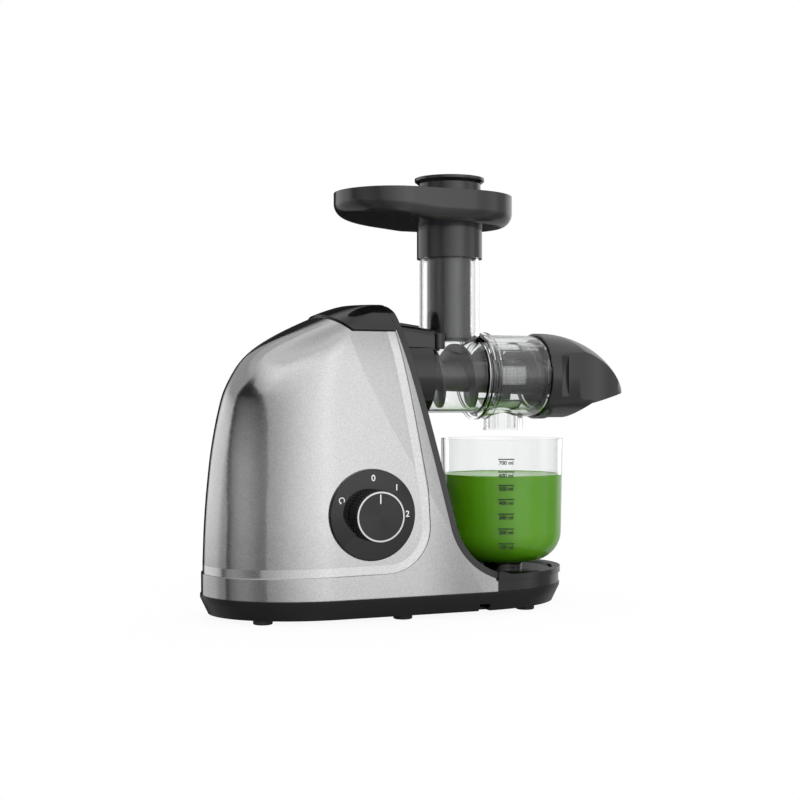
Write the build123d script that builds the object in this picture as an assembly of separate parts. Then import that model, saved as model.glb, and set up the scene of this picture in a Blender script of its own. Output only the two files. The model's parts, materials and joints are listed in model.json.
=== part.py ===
from build123d import *
import math
import os

# Cold press juicer: a motor housing with a horizontal auger press in front of it.
# Frame while modelling: +X runs along the auger towards the pulp outlet, +Y is the
# back of the machine, +Z is up, Z = 0 is the table and Y = 0 holds the auger axis.
# Lengths are millimetres, angles are degrees.

# ---------------------------------------------------------------- driving sizes
# housing
HOUSING_REAR = -197.5        # rear end of the housing
HOUSING_HALF_WIDTH = 71.0    # housing half width at its foot
HOUSING_TOP = 262.0          # top of the carrying handle
REAR_END_LENGTH = 95.0       # length of the half ellipse at the rear end
SHELL_WALL = 2.8             # moulded wall of the housing
LEDGE_TOP = 37.0             # height of the step round the foot of the housing
LEDGE_STEP = 1.2             # how far that step stands out
FRONT_STRIP = 5.2            # front cover seen along the edge of the side shells
PLATFORM_TOP = 34.0          # top of the cup platform
PLATFORM_TIP = 125.0         # front end of the platform
FRONT_END_LENGTH = 96.0      # length of the half ellipse at the front end
SHELL_FRONT_FOOT = 38.0      # where the side shells end beside the platform
SEAM = 0.15                  # half of the parting line between moulded pieces

# base
FOOT_HEIGHT = 3.8            # how far the feet lift the base
FOOT_RADIUS = 8.0
FOOT_EDGE = 11.0             # foot centre, in from the outline of the base
FOOT_PLACES = (-159.0, -42.5, 76.0)
BASE_TOP = 20.0              # where the housing stands on the base
BASE_WALL = 2.6
BASE_FLARE = 1.8             # rim of the base outside the housing
SKIRT_TAPER = 6.5            # how far the skirt draws in on its way down
RIM_HEIGHT = 2.6             # straight rim at the top of the base

# auger axis and drum
DRUM_Z = 203.0               # height of the auger axis
NECK_RADIUS = 36.2           # neck of the housing that takes the drum
NECK_END = -3.5
BARREL_RADIUS = 32.7         # feed barrel of the drum
BARREL_START = -26.0
CLEAR_WALL = 2.6             # wall of the clear mouldings
CHAMBER_RADIUS = 36.4        # juice chamber of the drum
CHAMBER_START = 49.0
CHAMBER_END = 113.0
LOCK_RING_RADIUS = 39.0      # ring between barrel and chamber
LOCK_RING_LENGTH = 11.0
TUBE_X = 24.6                # feed tube
TUBE_RADIUS = 26.4
TUBE_TOP = 331.0
NOZZLE_X = 77.0
NOZZLE_RADIUS = 17.5
NOZZLE_END = 154.5           # height of the mouth of the juice nozzle
DRUM_FIT = 0.35              # clearance between drum and neck

# auger and strainer
AUGER_RADIUS = 28.4
AUGER_PITCH = 31.0
AUGER_ROOT_RADIUS = 12.5     # core of the auger at the feed end
AUGER_FRONT_RADIUS = 17.0    # core of the auger at the pulp end
AUGER_END = 105.0            # front end of the auger core
AUGER_TIP = 119.0            # end of the cone in front of it
AUGER_STUB_RADIUS = 8.5      # rear stub that takes the drive shaft
AUGER_BACK_GAP = 0.8         # thrust gap behind the auger
HEX_FLATS = 11.0             # hexagon of the drive shaft, across flats
HEX_GAP = 0.1
FLIGHT_ROOT = 6.0            # thickness of the flight at the core
FLIGHT_EDGE = 2.6            # thickness of the flight at its edge
STRAINER_WALL = 1.8
STRAINER_GAP = 0.6           # between flight edge and strainer
STRAINER_END = 108.0
WINDOW_LENGTH = 24.0
WINDOW_WIDTH = 15.0
WINDOW_COUNT = 6
MESH_THICKNESS = 0.5

# nose, tray, pusher, cup
NOSE_RADIUS = 38.6
NOSE_START = 108.0
NOSE_TIP = 200.0
NOSE_TIP_Z = 189.0
NOSE_WALL = 2.4
COLLAR_RADIUS = 28.9
COLLAR_BOTTOM = 306.0
TRAY_BOTTOM = 334.0
TRAY_RIM = 361.0
TRAY_LEFT = -81.0
TRAY_RIGHT = 80.5
TRAY_HALF_WIDTH = 52.0
TRAY_WALL = 2.4
PUSHER_RADIUS = 19.7
PUSHER_BOTTOM = 233.0
PUSHER_HEAD_RADIUS = 27.6
PUSHER_FLANGE_RADIUS = 30.8
PUSHER_TOP = 377.0
CUP_X = 76.0
CUP_RADIUS = 54.5
CUP_BOTTOM = 38.0
CUP_RIM = 147.0
CUP_WALL = 2.2
CUP_CORNER = 27.0
CUP_DRAFT = 1.6              # how far the cup wall draws in over its height

# knob on the near side
KNOB_X = -74.7
KNOB_Z = 88.0
BEZEL_RADIUS = 37.2
BEZEL_PROUD = 2.4
BEZEL_DEPTH = 7.0
KNOB_GAP = 0.4
KNOB_RADIUS = 21.3
KNOB_FACE_RADIUS = 19.0
KNOB_HEIGHT = 17.0

# motor and gears
MODULE_FAST = 1.0            # module of the motor pinion and its gear
MODULE_SLOW = 1.25           # module of the second pair
PINION_TEETH = 14
WHEEL_TEETH = 56
FAST_FACE = 9.0              # face width of the first pair
SLOW_FACE = 13.0             # face width of the second pair
BACKLASH = 0.16              # as a share of the module
PRESSURE_ANGLE = 20.0
MOTOR_RADIUS = 37.0
MOTOR_LENGTH = 72.0
SHAFT_RADIUS = 4.0
PIN_RADIUS = 3.0
OUTPUT_SHAFT_RADIUS = 6.0
GEARBOX_BACK = -88.0         # rear face of the gear box
GEARBOX_WALL = 3.0
FIT = 0.05                   # running fit of a shaft in its bush

# ---------------------------------------------------------------- derived sizes
COUNTER_Z = DRUM_Z - MODULE_SLOW * (PINION_TEETH + WHEEL_TEETH) / 2
MOTOR_Z = COUNTER_Z - MODULE_FAST * (PINION_TEETH + WHEEL_TEETH) / 2
STRAINER_INNER = AUGER_RADIUS + STRAINER_GAP
STRAINER_OUTER = STRAINER_INNER + STRAINER_WALL
STRAINER_START = CHAMBER_START + CLEAR_WALL
BARREL_BORE = BARREL_RADIUS - CLEAR_WALL
CHAMBER_BORE = CHAMBER_RADIUS - CLEAR_WALL
NECK_BORE = BARREL_RADIUS + DRUM_FIT
AUGER_START = BARREL_START + CLEAR_WALL + AUGER_BACK_GAP

pieces = {}


# ---------------------------------------------------------------- small helpers
def along_x(shape, x, y=0.0, z=0.0):
    """Turn a shape made along Z so that it runs along +X from x."""
    return Pos(x, y, z) * Rot(0, 90, 0) * shape


def rod(radius, x_start, x_end, y, z):
    length = x_end - x_start
    low = (Align.CENTER, Align.CENTER, Align.MIN)
    return along_x(Cylinder(radius, length, align=low), x_start, y, z)


def pipe(outer, inner, x_start, x_end, y, z):
    return rod(outer, x_start, x_end, y, z) - rod(inner, x_start - 1, x_end + 1, y, z)


def post(radius, x, y, z_start, z_end):
    low = (Align.CENTER, Align.CENTER, Align.MIN)
    return Pos(x, y, z_start) * Cylinder(radius, z_end - z_start, align=low)


def block(x_start, x_end, y_start, y_end, z_start, z_end):
    low = (Align.MIN, Align.MIN, Align.MIN)
    box = Box(x_end - x_start, y_end - y_start, z_end - z_start, align=low)
    return Pos(x_start, y_start, z_start) * box


def prism_y(face):
    """Extrude a side view, drawn with X across and Z up, to both sides of Y = 0."""
    return extrude(Plane.XZ * face, HOUSING_HALF_WIDTH * 2, both=True)


def boat(rear, rear_length, front, front_length, half_width):
    """Plan outline with straight sides and half an ellipse at each end."""
    rear_x = rear + rear_length
    front_x = front - front_length
    rear_arc = EllipticalCenterArc((rear_x, 0), rear_length, half_width, 90, arc_size=180)
    near_side = Line((rear_x, -half_width), (front_x, -half_width))
    front_arc = EllipticalCenterArc((front_x, 0), front_length, half_width, 270, arc_size=180)
    far_side = Line((front_x, half_width), (rear_x, half_width))
    return make_face([rear_arc, near_side, front_arc, far_side])


# ---------------------------------------------------------------- housing form
# The housing is lofted through boat shaped outlines that draw in towards the handle,
# and the sloping front, which sweeps out into the cup platform, then trims it.
# Each station holds its height, then how far the rear end, the rear ellipse and the
# half width have drawn in there.
HOUSING_DRAW_IN = (
    (12.0, 0.0, 0.0, 0.0),
    (45.0, 0.2, 0.0, 1.0),
    (78.0, 1.7, 1.5, 2.0),
    (110.0, 5.2, 5.0, 3.4),
    (140.0, 11.0, 10.5, 5.3),
    (166.0, 18.0, 17.5, 7.5),
    (190.0, 26.5, 25.0, 10.2),
    (210.0, 37.0, 33.0, 13.5),
    (227.0, 51.0, 40.5, 18.0),
    (240.0, 70.0, 48.5, 23.0),
    (250.0, 91.0, 57.5, 28.5),
    (257.0, 109.0, 66.5, 34.5),
    (HOUSING_TOP, 129.5, 77.0, 42.0),
)
FRONT_LEAN = 13.9            # lean of the front from the vertical
FRONT_FOOT_X = 10.7          # where the lean would meet the platform
FRONT_SWEEP_RADIUS = 56.0    # sweep from the front into the platform
DEEP = 60.0                  # how far working shapes run past the form
PANEL_LEFT = HOUSING_REAR - DEEP
PANEL_CORNER = (-22.0, 40.0)  # lower front corner of the sunk side panel
PANEL_CORNER_RADIUS = 38.0
PANEL_EDGE = ((-25.0, 110.0), (-43.0, 217.0), (-61.0, 330.0))
HANDLE_REAR = -101.0         # rear end of the black handle cap
HANDLE_REAR_Z = 254.0
HANDLE_EDGE_X = -84.0        # where its lower edge turns level
HANDLE_EDGE_Z = 240.0
HANDLE_WALL = 4.5
HANDLE_ROUND = 12.0          # rounding from the top into the sloping front


def body_form(inset):
    """The lofted housing, drawn in by the wall and open downwards when it is."""
    outlines = []
    for height, rear, rear_end, side in HOUSING_DRAW_IN:
        outline = boat(
            HOUSING_REAR + rear + inset,
            REAR_END_LENGTH - rear_end - inset,
            PLATFORM_TIP - inset,
            FRONT_END_LENGTH - inset,
            HOUSING_HALF_WIDTH - side - inset,
        )
        outlines.append(Pos(0, 0, height - inset) * outline)
    return loft(outlines)


def behind_front(inset, top):
    """Side view of all that is behind the sloping front and under the platform top."""
    lean = math.radians(FRONT_LEAN)
    foot_z = PLATFORM_TOP - inset
    foot_x = FRONT_FOOT_X - inset / math.cos(lean) + inset * math.tan(lean)
    top_x = foot_x - (top - foot_z) * math.tan(lean)
    outline = Polygon(
        (top_x, top),
        (foot_x, foot_z),
        (PLATFORM_TIP + DEEP, foot_z),
        (PLATFORM_TIP + DEEP, -DEEP),
        (HOUSING_REAR - DEEP, -DEEP),
        (HOUSING_REAR - DEEP, top),
        align=None,
    )
    corner = outline.vertices().sort_by_distance((foot_x, foot_z))[0]
    return fillet(corner, FRONT_SWEEP_RADIUS + inset)


def front_form(inset):
    """The space behind the front, with its top rounded over into the handle."""
    outline = behind_front(inset, HOUSING_TOP)
    corner = outline.vertices().sort_by_distance((FRONT_FOOT_X, HOUSING_TOP))[0]
    return prism_y(fillet(corner, HANDLE_ROUND))


def side_zone(points):
    """A zone of the housing given by its side view, right across the machine."""
    return prism_y(Polygon(*points, align=None))


def near_rod(radius, y_start, y_end, x, z):
    """A rod along Y from y_start out to y_end on the near side."""
    low = (Align.CENTER, Align.CENTER, Align.MIN)
    return Pos(x, y_start, z) * Rot(90, 0, 0) * Cylinder(radius, y_start - y_end, align=low)


panel_face = Polygon(
    (PANEL_LEFT, LEDGE_TOP),
    PANEL_CORNER,
    *PANEL_EDGE,
    (PANEL_LEFT, HOUSING_TOP + DEEP),
    align=None,
)
panel_corner = panel_face.vertices().sort_by_distance(PANEL_CORNER)[0]
panel_zone = prism_y(fillet(panel_corner, PANEL_CORNER_RADIUS))
above_base = block(
    HOUSING_REAR - DEEP, PLATFORM_TIP + DEEP, -DEEP * 2, DEEP * 2,
    BASE_TOP, HOUSING_TOP + DEEP,
)
full_form = body_form(-LEDGE_STEP) & front_form(0) & above_base
outer_form = full_form - (panel_zone - body_form(0))
inner_form = body_form(SHELL_WALL) & front_form(SHELL_WALL)
housing_skin = outer_form - inner_form

handle_zone = side_zone((
    (HANDLE_REAR, HOUSING_TOP + DEEP),
    (HANDLE_REAR, HANDLE_REAR_Z),
    (HANDLE_EDGE_X, HANDLE_EDGE_Z),
    (FRONT_FOOT_X, HANDLE_EDGE_Z),
    (FRONT_FOOT_X, HOUSING_TOP + DEEP),
))


def shell_zone(gap):
    """Where the side shells are: behind the strip and the platform of the cover."""
    beside_platform = block(
        HOUSING_REAR - DEEP, SHELL_FRONT_FOOT - gap, -DEEP * 2, DEEP * 2,
        0, HOUSING_TOP + DEEP,
    )
    return prism_y(behind_front(FRONT_STRIP + gap, HOUSING_TOP + DEEP)) & beside_platform


# ---------------------------------------------------------------- knob place


def half_width_at(height):
    """How far the side of the housing is from the middle at a height."""
    for (low_z, *_, low), (high_z, *_, high) in zip(HOUSING_DRAW_IN, HOUSING_DRAW_IN[1:]):
        if low_z <= height <= high_z:
            draw_in = low + (high - low) * (height - low_z) / (high_z - low_z)
    return HOUSING_HALF_WIDTH - draw_in


PANEL_Y = half_width_at(KNOB_Z)
BEZEL_FACE_Y = -(PANEL_Y + BEZEL_PROUD)
BEZEL_BACK_Y = BEZEL_FACE_Y + BEZEL_DEPTH
KNOB_BACK_Y = BEZEL_FACE_Y - KNOB_GAP
KNOB_FACE_Y = KNOB_BACK_Y - KNOB_HEIGHT
bezel_hole = near_rod(BEZEL_RADIUS + SEAM, 0, BEZEL_FACE_Y - DEEP, KNOB_X, KNOB_Z)

# ---------------------------------------------------------------- side shells
shells = housing_skin & shell_zone(SEAM)
shells -= handle_zone
far_half = block(
    HOUSING_REAR - DEEP, PLATFORM_TIP, SEAM, DEEP * 2, 0, HOUSING_TOP + DEEP
)
left_shell = mirror(far_half, Plane.XZ) & shells
right_shell = far_half & shells
left_shell -= bezel_hole

# ---------------------------------------------------------------- handle cap
# It stands out from the sunk panels and closes with a wall behind the front cover.
handle_hollow = body_form(HANDLE_WALL) & front_form(FRONT_STRIP + HANDLE_WALL)
handle_skin = (full_form - handle_hollow) & shell_zone(SEAM) & handle_zone
pieces["left_shell"] = left_shell
pieces["right_shell"] = right_shell
pieces["top_handle"] = handle_skin

# ---------------------------------------------------------------- front cover
# The sloping front, the neck for the drum and the cup platform are one moulding.
NECK_BACK = -36.0            # inside of the wall at the bottom of the neck
NECK_BACK_WALL = 3.0
LUG_HEIGHT = 1.8             # bayonet lugs on the drum
LUG_LENGTH = 5.0
LUG_START = -21.0
LUG_WIDTH = 13.0
LUG_COUNT = 3
LUG_GAP = 0.4
LUG_ANGLE = 60.0             # turn of the first lug from the top of the drum
DRUM_TWIST = 30.0            # turn of the drum from locked to free
SEAL_RADIUS = 12.0           # shaft seal in the back wall of the drum
PAD_RADIUS = 18.0            # pad under the cup
BLOCK_START = -44.0          # lock block on the neck
BLOCK_END = 3.5
BLOCK_HALF_WIDTH = 27.0
BLOCK_BOTTOM = 223.5
BLOCK_BACK_TOP = 248.5       # its top slopes down from the cover
BLOCK_FRONT_TOP = 242.0
TUBE_ROOM = 1.2              # room for the feed tube beside the block
BLOCK_EDGE = 7.0             # rounding of its top edges
BLOCK_FOOT_EDGE = 2.5        # rounding of its lower edge
KNUCKLE_RADIUS = 5.4         # upright boss at the near end of the block
KNUCKLE_Y = -24.6
KNUCKLE_BOTTOM = 225.5
KNUCKLE_TOP = 239.5
PILLAR_RADIUS = 4.5          # pillars that carry the gear box
PILLAR_SPREAD = 22.0
COVER_PLATE_FRONT = -52.0    # front face of the gear box cover
BUTTON_START = -27.0
BUTTON_END = -9.0
BUTTON_HALF_WIDTH = 11.0
BUTTON_PROUD = 2.4
BUTTON_TRAVEL = 2.6
BUTTON_GAP = 0.4
POCKET_FLOOR = 239.6         # floor of the button pocket
BUTTON_BOTTOM = 242.7
SPRING_SEAT = 245.2          # recess under the button for its spring
SPRING_RADIUS = 3.0
SPRING_WIRE = 0.8
SPRING_TURNS = 3.5
PLATFORM_DISH = 1.4          # sunk middle of the platform
PLATFORM_LIP = 7.0
LIP_PROUD = 1.4              # rounded lip round the edge of the platform
LIP_THICKNESS = 5.0

drum_axis = (0, DRUM_Z)


def around_drum(shape, count, start_angle):
    """Copies of a shape spaced evenly round the auger axis."""
    axis = Axis((0, 0, DRUM_Z), (1, 0, 0))
    return [
        shape.rotate(axis, start_angle + 360.0 * index / count) for index in range(count)
    ]


front_cover = housing_skin - shell_zone(0)
front_cover += rod(NECK_RADIUS, NECK_BACK - NECK_BACK_WALL, NECK_END, *drum_axis)
lock_block = extrude(
    Plane.XZ * Polygon(
        (BLOCK_START, BLOCK_BOTTOM),
        (BLOCK_END, BLOCK_BOTTOM),
        (BLOCK_END, BLOCK_FRONT_TOP),
        (BLOCK_START, BLOCK_BACK_TOP),
        align=None,
    ),
    BLOCK_HALF_WIDTH,
    both=True,
)
lock_block = fillet(lock_block.faces().sort_by(Axis.Z)[-1].edges(), BLOCK_EDGE)
near_foot = lock_block.faces().sort_by(Axis.Z)[0].edges().sort_by(Axis.Y)[0]
lock_block = fillet(near_foot, BLOCK_FOOT_EDGE)
knuckle = post(KNUCKLE_RADIUS, BLOCK_END, KNUCKLE_Y, KNUCKLE_BOTTOM, KNUCKLE_TOP)
lock_block += fillet(knuckle.edges().filter_by(GeomType.CIRCLE), 1)
lock_block -= inner_form
lock_block -= post(TUBE_RADIUS + TUBE_ROOM, TUBE_X, 0, 0, HOUSING_TOP)
lock_block -= block(
    TUBE_X - TUBE_RADIUS - TUBE_ROOM, NECK_RADIUS, 0, DEEP, 0, HOUSING_TOP
)
front_cover += lock_block
front_cover -= rod(NECK_BORE, NECK_BACK, TUBE_X, *drum_axis)
front_cover -= rod(SEAL_RADIUS, NECK_BACK - DEEP / 4, NECK_BACK + 1, *drum_axis)
groove = pipe(
    BARREL_RADIUS + LUG_HEIGHT + LUG_GAP, BARREL_RADIUS - 1,
    LUG_START - LUG_GAP, LUG_START + LUG_LENGTH + LUG_GAP, *drum_axis,
)
entry = block(
    LUG_START, NECK_END + 1,
    -LUG_WIDTH / 2 - LUG_GAP, LUG_WIDTH / 2 + LUG_GAP,
    DRUM_Z + BARREL_RADIUS - 4, DRUM_Z + BARREL_RADIUS + LUG_HEIGHT + LUG_GAP,
)
front_cover -= groove
for slot in around_drum(entry, LUG_COUNT, LUG_ANGLE - DRUM_TWIST):
    front_cover -= slot
button_pocket = block(
    BUTTON_START - BUTTON_GAP, BUTTON_END + BUTTON_GAP,
    -BUTTON_HALF_WIDTH - BUTTON_GAP, BUTTON_HALF_WIDTH + BUTTON_GAP,
    POCKET_FLOOR, HOUSING_TOP,
)
front_cover -= button_pocket
for side_y in (-PILLAR_SPREAD, PILLAR_SPREAD):
    for side_z in (-PILLAR_SPREAD, PILLAR_SPREAD):
        front_cover += rod(
            PILLAR_RADIUS, COVER_PLATE_FRONT, NECK_BACK - NECK_BACK_WALL,
            side_y, DRUM_Z + side_z,
        )
lip = body_form(-LEDGE_STEP - LIP_PROUD) & front_form(0)
lip &= block(
    SHELL_FRONT_FOOT, PLATFORM_TIP + DEEP, -DEEP * 2, DEEP * 2,
    PLATFORM_TOP - LIP_THICKNESS, HOUSING_TOP,
)
front_cover += lip - body_form(0)
dish = extrude(
    Pos(CUP_X, 0, PLATFORM_TOP - PLATFORM_DISH) * Ellipse(
        PLATFORM_TIP - PLATFORM_LIP - CUP_X, HOUSING_HALF_WIDTH - 2.5 * PLATFORM_LIP
    ),
    DEEP,
)
front_cover -= dish
front_cover += post(PAD_RADIUS, CUP_X, 0, PLATFORM_TOP - SHELL_WALL, CUP_BOTTOM)
pieces["front_cover"] = front_cover

# ---------------------------------------------------------------- release button
# Pressed to let the drum turn out of its bayonet; a coil spring lifts it again.
button = button_pocket & block(
    BUTTON_START, BUTTON_END, -BUTTON_HALF_WIDTH, BUTTON_HALF_WIDTH,
    BUTTON_BOTTOM, HOUSING_TOP,
)
slope = (BLOCK_FRONT_TOP - BLOCK_BACK_TOP) / (BLOCK_END - BLOCK_START)
button &= side_zone((
    (BLOCK_START, DRUM_Z),
    (BLOCK_END, DRUM_Z),
    (BLOCK_END, BLOCK_FRONT_TOP + BUTTON_PROUD),
    (BLOCK_START, BLOCK_BACK_TOP + BUTTON_PROUD),
))
button = fillet(button.faces().sort_by(Axis.Z)[-1].edges(), 1)
button_x = (BUTTON_START + BUTTON_END) / 2
spring_bore = SPRING_RADIUS + SPRING_WIRE
button -= post(spring_bore, button_x, 0, BUTTON_BOTTOM - 1, SPRING_SEAT)
pieces["release_button"] = button

spring_height = SPRING_SEAT - POCKET_FLOOR - SPRING_WIRE
coil = Helix(spring_height / SPRING_TURNS, spring_height, SPRING_RADIUS)
wire = Plane(origin=coil @ 0, x_dir=(1, 0, 0), z_dir=coil % 0) * Rectangle(
    SPRING_WIRE, SPRING_WIRE
)
spring = sweep(wire, path=coil, is_frenet=True)
pieces["button_spring"] = Pos(button_x, 0, POCKET_FLOOR + SPRING_WIRE / 2) * spring

# ---------------------------------------------------------------- base
SCREW_RADIUS = 2.0
SCREW_HEAD_RADIUS = 3.6
SCREW_PLACES = ((-150.0, 30.0), (-20.0, 52.0), (90.0, 30.0))
BOSS_RADIUS = 5.0
NOTCH_START = 22.0           # finger notch in the foot of the skirt
NOTCH_END = 32.0
NOTCH_HEIGHT = 6.0
VENT_COUNT = 9
VENT_PITCH = 8.0
VENT_WIDTH = 3.0
VENT_LENGTH = 60.0
STUD_RADIUS = 3.0            # stem that holds a rubber foot
CRADLE_THICKNESS = 5.0
CRADLE_HALF_WIDTH = 26.0
CRADLE_PLACES = (-155.0, -112.0)
DAMPER = 2.0                 # rubber between cradle and motor


def base_outline(inset, height):
    outline = boat(
        HOUSING_REAR - BASE_FLARE + inset,
        REAR_END_LENGTH + BASE_FLARE - inset,
        PLATFORM_TIP + BASE_FLARE - inset,
        FRONT_END_LENGTH + BASE_FLARE - inset,
        HOUSING_HALF_WIDTH + BASE_FLARE - inset,
    )
    return Pos(0, 0, height) * outline


def base_shape(inset, bottom, rim_bottom, top):
    """A tapered skirt under an upright rim."""
    rim = extrude(base_outline(inset, rim_bottom), top - rim_bottom)
    skirt = loft(
        [base_outline(inset + SKIRT_TAPER, bottom), base_outline(inset, rim_bottom)]
    )
    return rim + skirt


def mirrored(places):
    """Each place and its twin on the other side of the machine."""
    return [(x, side * y) for x, y in places for side in (-1, 1)]


def foot_half_width(x):
    """Half width of the bottom of the skirt at x."""
    half_width = HOUSING_HALF_WIDTH + BASE_FLARE - SKIRT_TAPER
    rear_x = HOUSING_REAR + REAR_END_LENGTH
    front_x = PLATFORM_TIP - FRONT_END_LENGTH
    if x < rear_x:
        share = (rear_x - x) / (REAR_END_LENGTH + BASE_FLARE - SKIRT_TAPER)
    elif x > front_x:
        share = (x - front_x) / (FRONT_END_LENGTH + BASE_FLARE - SKIRT_TAPER)
    else:
        share = 0
    return half_width * math.sqrt(1 - share**2)


rim_bottom = BASE_TOP - RIM_HEIGHT
base_pan = base_shape(0, FOOT_HEIGHT, rim_bottom, BASE_TOP)
base_pan -= base_shape(
    BASE_WALL, FOOT_HEIGHT + BASE_WALL, rim_bottom, BASE_TOP + 1
)
floor_top = FOOT_HEIGHT + BASE_WALL
feet_centres = [(x, side * (foot_half_width(x) - FOOT_EDGE))
                for x in FOOT_PLACES for side in (-1, 1)]
feet = []
for x, y in feet_centres:
    foot = post(FOOT_RADIUS, x, y, 0, FOOT_HEIGHT)
    foot = fillet(foot.edges().sort_by(Axis.Z)[0], 1)
    foot += post(STUD_RADIUS, x, y, FOOT_HEIGHT, floor_top + 1)
    foot += post(STUD_RADIUS + 1, x, y, floor_top, floor_top + 1.5)
    feet.append(foot)
    base_pan -= post(STUD_RADIUS, x, y, 0, floor_top + 1)
screws = []
for x, y in mirrored(SCREW_PLACES):
    base_pan += post(BOSS_RADIUS, x, y, FOOT_HEIGHT, BASE_TOP)
    base_pan -= post(SCREW_HEAD_RADIUS + SEAM, x, y, 0, floor_top)
    base_pan -= post(SCREW_RADIUS + SEAM, x, y, 0, BASE_TOP + 1)
    screw = post(SCREW_HEAD_RADIUS, x, y, FOOT_HEIGHT + 0.5, floor_top)
    screw += post(SCREW_RADIUS, x, y, floor_top, BASE_TOP - 1)
    screws.append(screw)
base_pan -= block(
    NOTCH_START, NOTCH_END, -2 * DEEP, 2 * DEEP, 0, FOOT_HEIGHT + NOTCH_HEIGHT
) - block(
    NOTCH_START - 1, NOTCH_END + 1, -HOUSING_HALF_WIDTH + 12, HOUSING_HALF_WIDTH - 12,
    0, BASE_TOP,
)
vent_start = (CRADLE_PLACES[0] + CRADLE_PLACES[1]) / 2 - VENT_PITCH * (VENT_COUNT // 2)
for index in range(VENT_COUNT):
    x = vent_start + index * VENT_PITCH
    base_pan -= block(
        x, x + VENT_WIDTH, -VENT_LENGTH / 2, VENT_LENGTH / 2, 0, floor_top + 1
    )
for x in CRADLE_PLACES:
    cradle = block(
        x, x + CRADLE_THICKNESS, -CRADLE_HALF_WIDTH, CRADLE_HALF_WIDTH,
        FOOT_HEIGHT, MOTOR_Z,
    )
    base_pan += cradle - rod(
        MOTOR_RADIUS + DAMPER, x - 1, x + CRADLE_THICKNESS + 1, 0, MOTOR_Z
    )
pieces["rubber_feet"] = Compound(feet)
pieces["base_screws"] = Compound(screws)

# ---------------------------------------------------------------- gears
TOOTH_TOP = 0.8              # stub teeth: addendum as a share of the module
TOOTH_FOOT = 1.0             # dedendum as a share of the module
FAST_START = -83.0           # rear face of the fast pair
PAIR_GAP = 3.0               # between the fast pair and the slow pair
SLOW_START = FAST_START + FAST_FACE + PAIR_GAP
WEB = 5.0                    # thickness of the web of a gear wheel


def gear(module, teeth, width, turned):
    """Spur gear along X from X = 0 with involute flanks; turned is in teeth."""
    pitch_radius = module * teeth / 2
    base_radius = pitch_radius * math.cos(math.radians(PRESSURE_ANGLE))
    tip_radius = pitch_radius + TOOTH_TOP * module
    root_radius = pitch_radius - TOOTH_FOOT * module
    pitch_roll = math.tan(math.radians(PRESSURE_ANGLE)) - math.radians(PRESSURE_ANGLE)
    half_tooth = math.pi / (2 * teeth) - BACKLASH / (2 * teeth) + pitch_roll

    def flank(radius, side, middle):
        angle = half_tooth
        if radius > base_radius:
            roll = math.acos(base_radius / radius)
            angle -= math.tan(roll) - roll
        angle = middle + side * angle
        return (radius * math.cos(angle), radius * math.sin(angle))

    edges = []
    middle_radius = (max(base_radius, root_radius) + tip_radius) / 2
    pitch_angle = 2 * math.pi / teeth
    for index in range(teeth):
        middle = (index + turned) * pitch_angle
        rise = [flank(r, -1, middle) for r in (root_radius, middle_radius, tip_radius)]
        fall = [flank(r, 1, middle) for r in (tip_radius, middle_radius, root_radius)]
        next_root = flank(root_radius, -1, middle + pitch_angle)
        edges += [
            ThreePointArc(*rise),
            Line(rise[2], fall[0]),
            ThreePointArc(*fall),
            Line(fall[2], next_root),
        ]
    outline = Plane.XY * make_face(edges)
    return along_x(extrude(outline, width), 0)


def wheel(module, width, turned, bore):
    """A gear wheel whose web is thinner than its rim and hub."""
    body = gear(module, WHEEL_TEETH, width, turned)
    rim_inner = module * WHEEL_TEETH / 2 - 3.5 * module
    hub = bore + 4
    pocket = (width - WEB) / 2
    body -= pipe(rim_inner, hub, -1, pocket, 0, 0)
    body -= pipe(rim_inner, hub, width - pocket, width + 1, 0, 0)
    return body - rod(bore, -1, width + 1, 0, 0)


# A pinion tooth points along the line of centres and the wheel meets it with a gap.
fast_wheel = Pos(FAST_START, 0, COUNTER_Z) * wheel(
    MODULE_FAST, FAST_FACE, 0.5, PIN_RADIUS + FIT
)
slow_pinion = Pos(SLOW_START, 0, COUNTER_Z) * gear(
    MODULE_SLOW, PINION_TEETH, SLOW_FACE, 0
)
slow_pinion += pipe(
    PIN_RADIUS + 3, PIN_RADIUS, FAST_START + FAST_FACE, SLOW_START, 0, COUNTER_Z
)
slow_pinion -= rod(PIN_RADIUS + FIT, FAST_START, 0, 0, COUNTER_Z)
pieces["counter_wheel"] = fast_wheel
pieces["counter_pinion"] = slow_pinion
output_wheel = Pos(SLOW_START, 0, DRUM_Z) * wheel(
    MODULE_SLOW, SLOW_FACE, 0.5, OUTPUT_SHAFT_RADIUS
)
pieces["output_wheel"] = output_wheel

# ---------------------------------------------------------------- gear box
CASE_GAP = 1.4               # running space round the wheels
BUSH_RADIUS = 9.0
BUSH_END_GAP = 0.3
PINION_SHAFT_RADIUS = 3.0
COVER_THICKNESS = 3.0
CASE_END = COVER_PLATE_FRONT - COVER_THICKNESS
PIN_CIRCLES = (
    (COUNTER_Z, MODULE_FAST * (WHEEL_TEETH / 2 + TOOTH_TOP)),
    (DRUM_Z, MODULE_SLOW * (WHEEL_TEETH / 2 + TOOTH_TOP)),
    (MOTOR_Z, MODULE_FAST * (PINION_TEETH / 2 + TOOTH_TOP) + GEARBOX_WALL),
)


def case_prism(extra, x_start, x_end):
    """The gear box outline: a tangent skin round the three gear circles."""
    circles = [
        Pos(-z, 0) * Circle(radius + CASE_GAP + extra) for z, radius in PIN_CIRCLES
    ]
    outline = make_hull([circle.edges()[0] for circle in circles])
    return along_x(extrude(outline, x_end - x_start), x_start)


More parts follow.
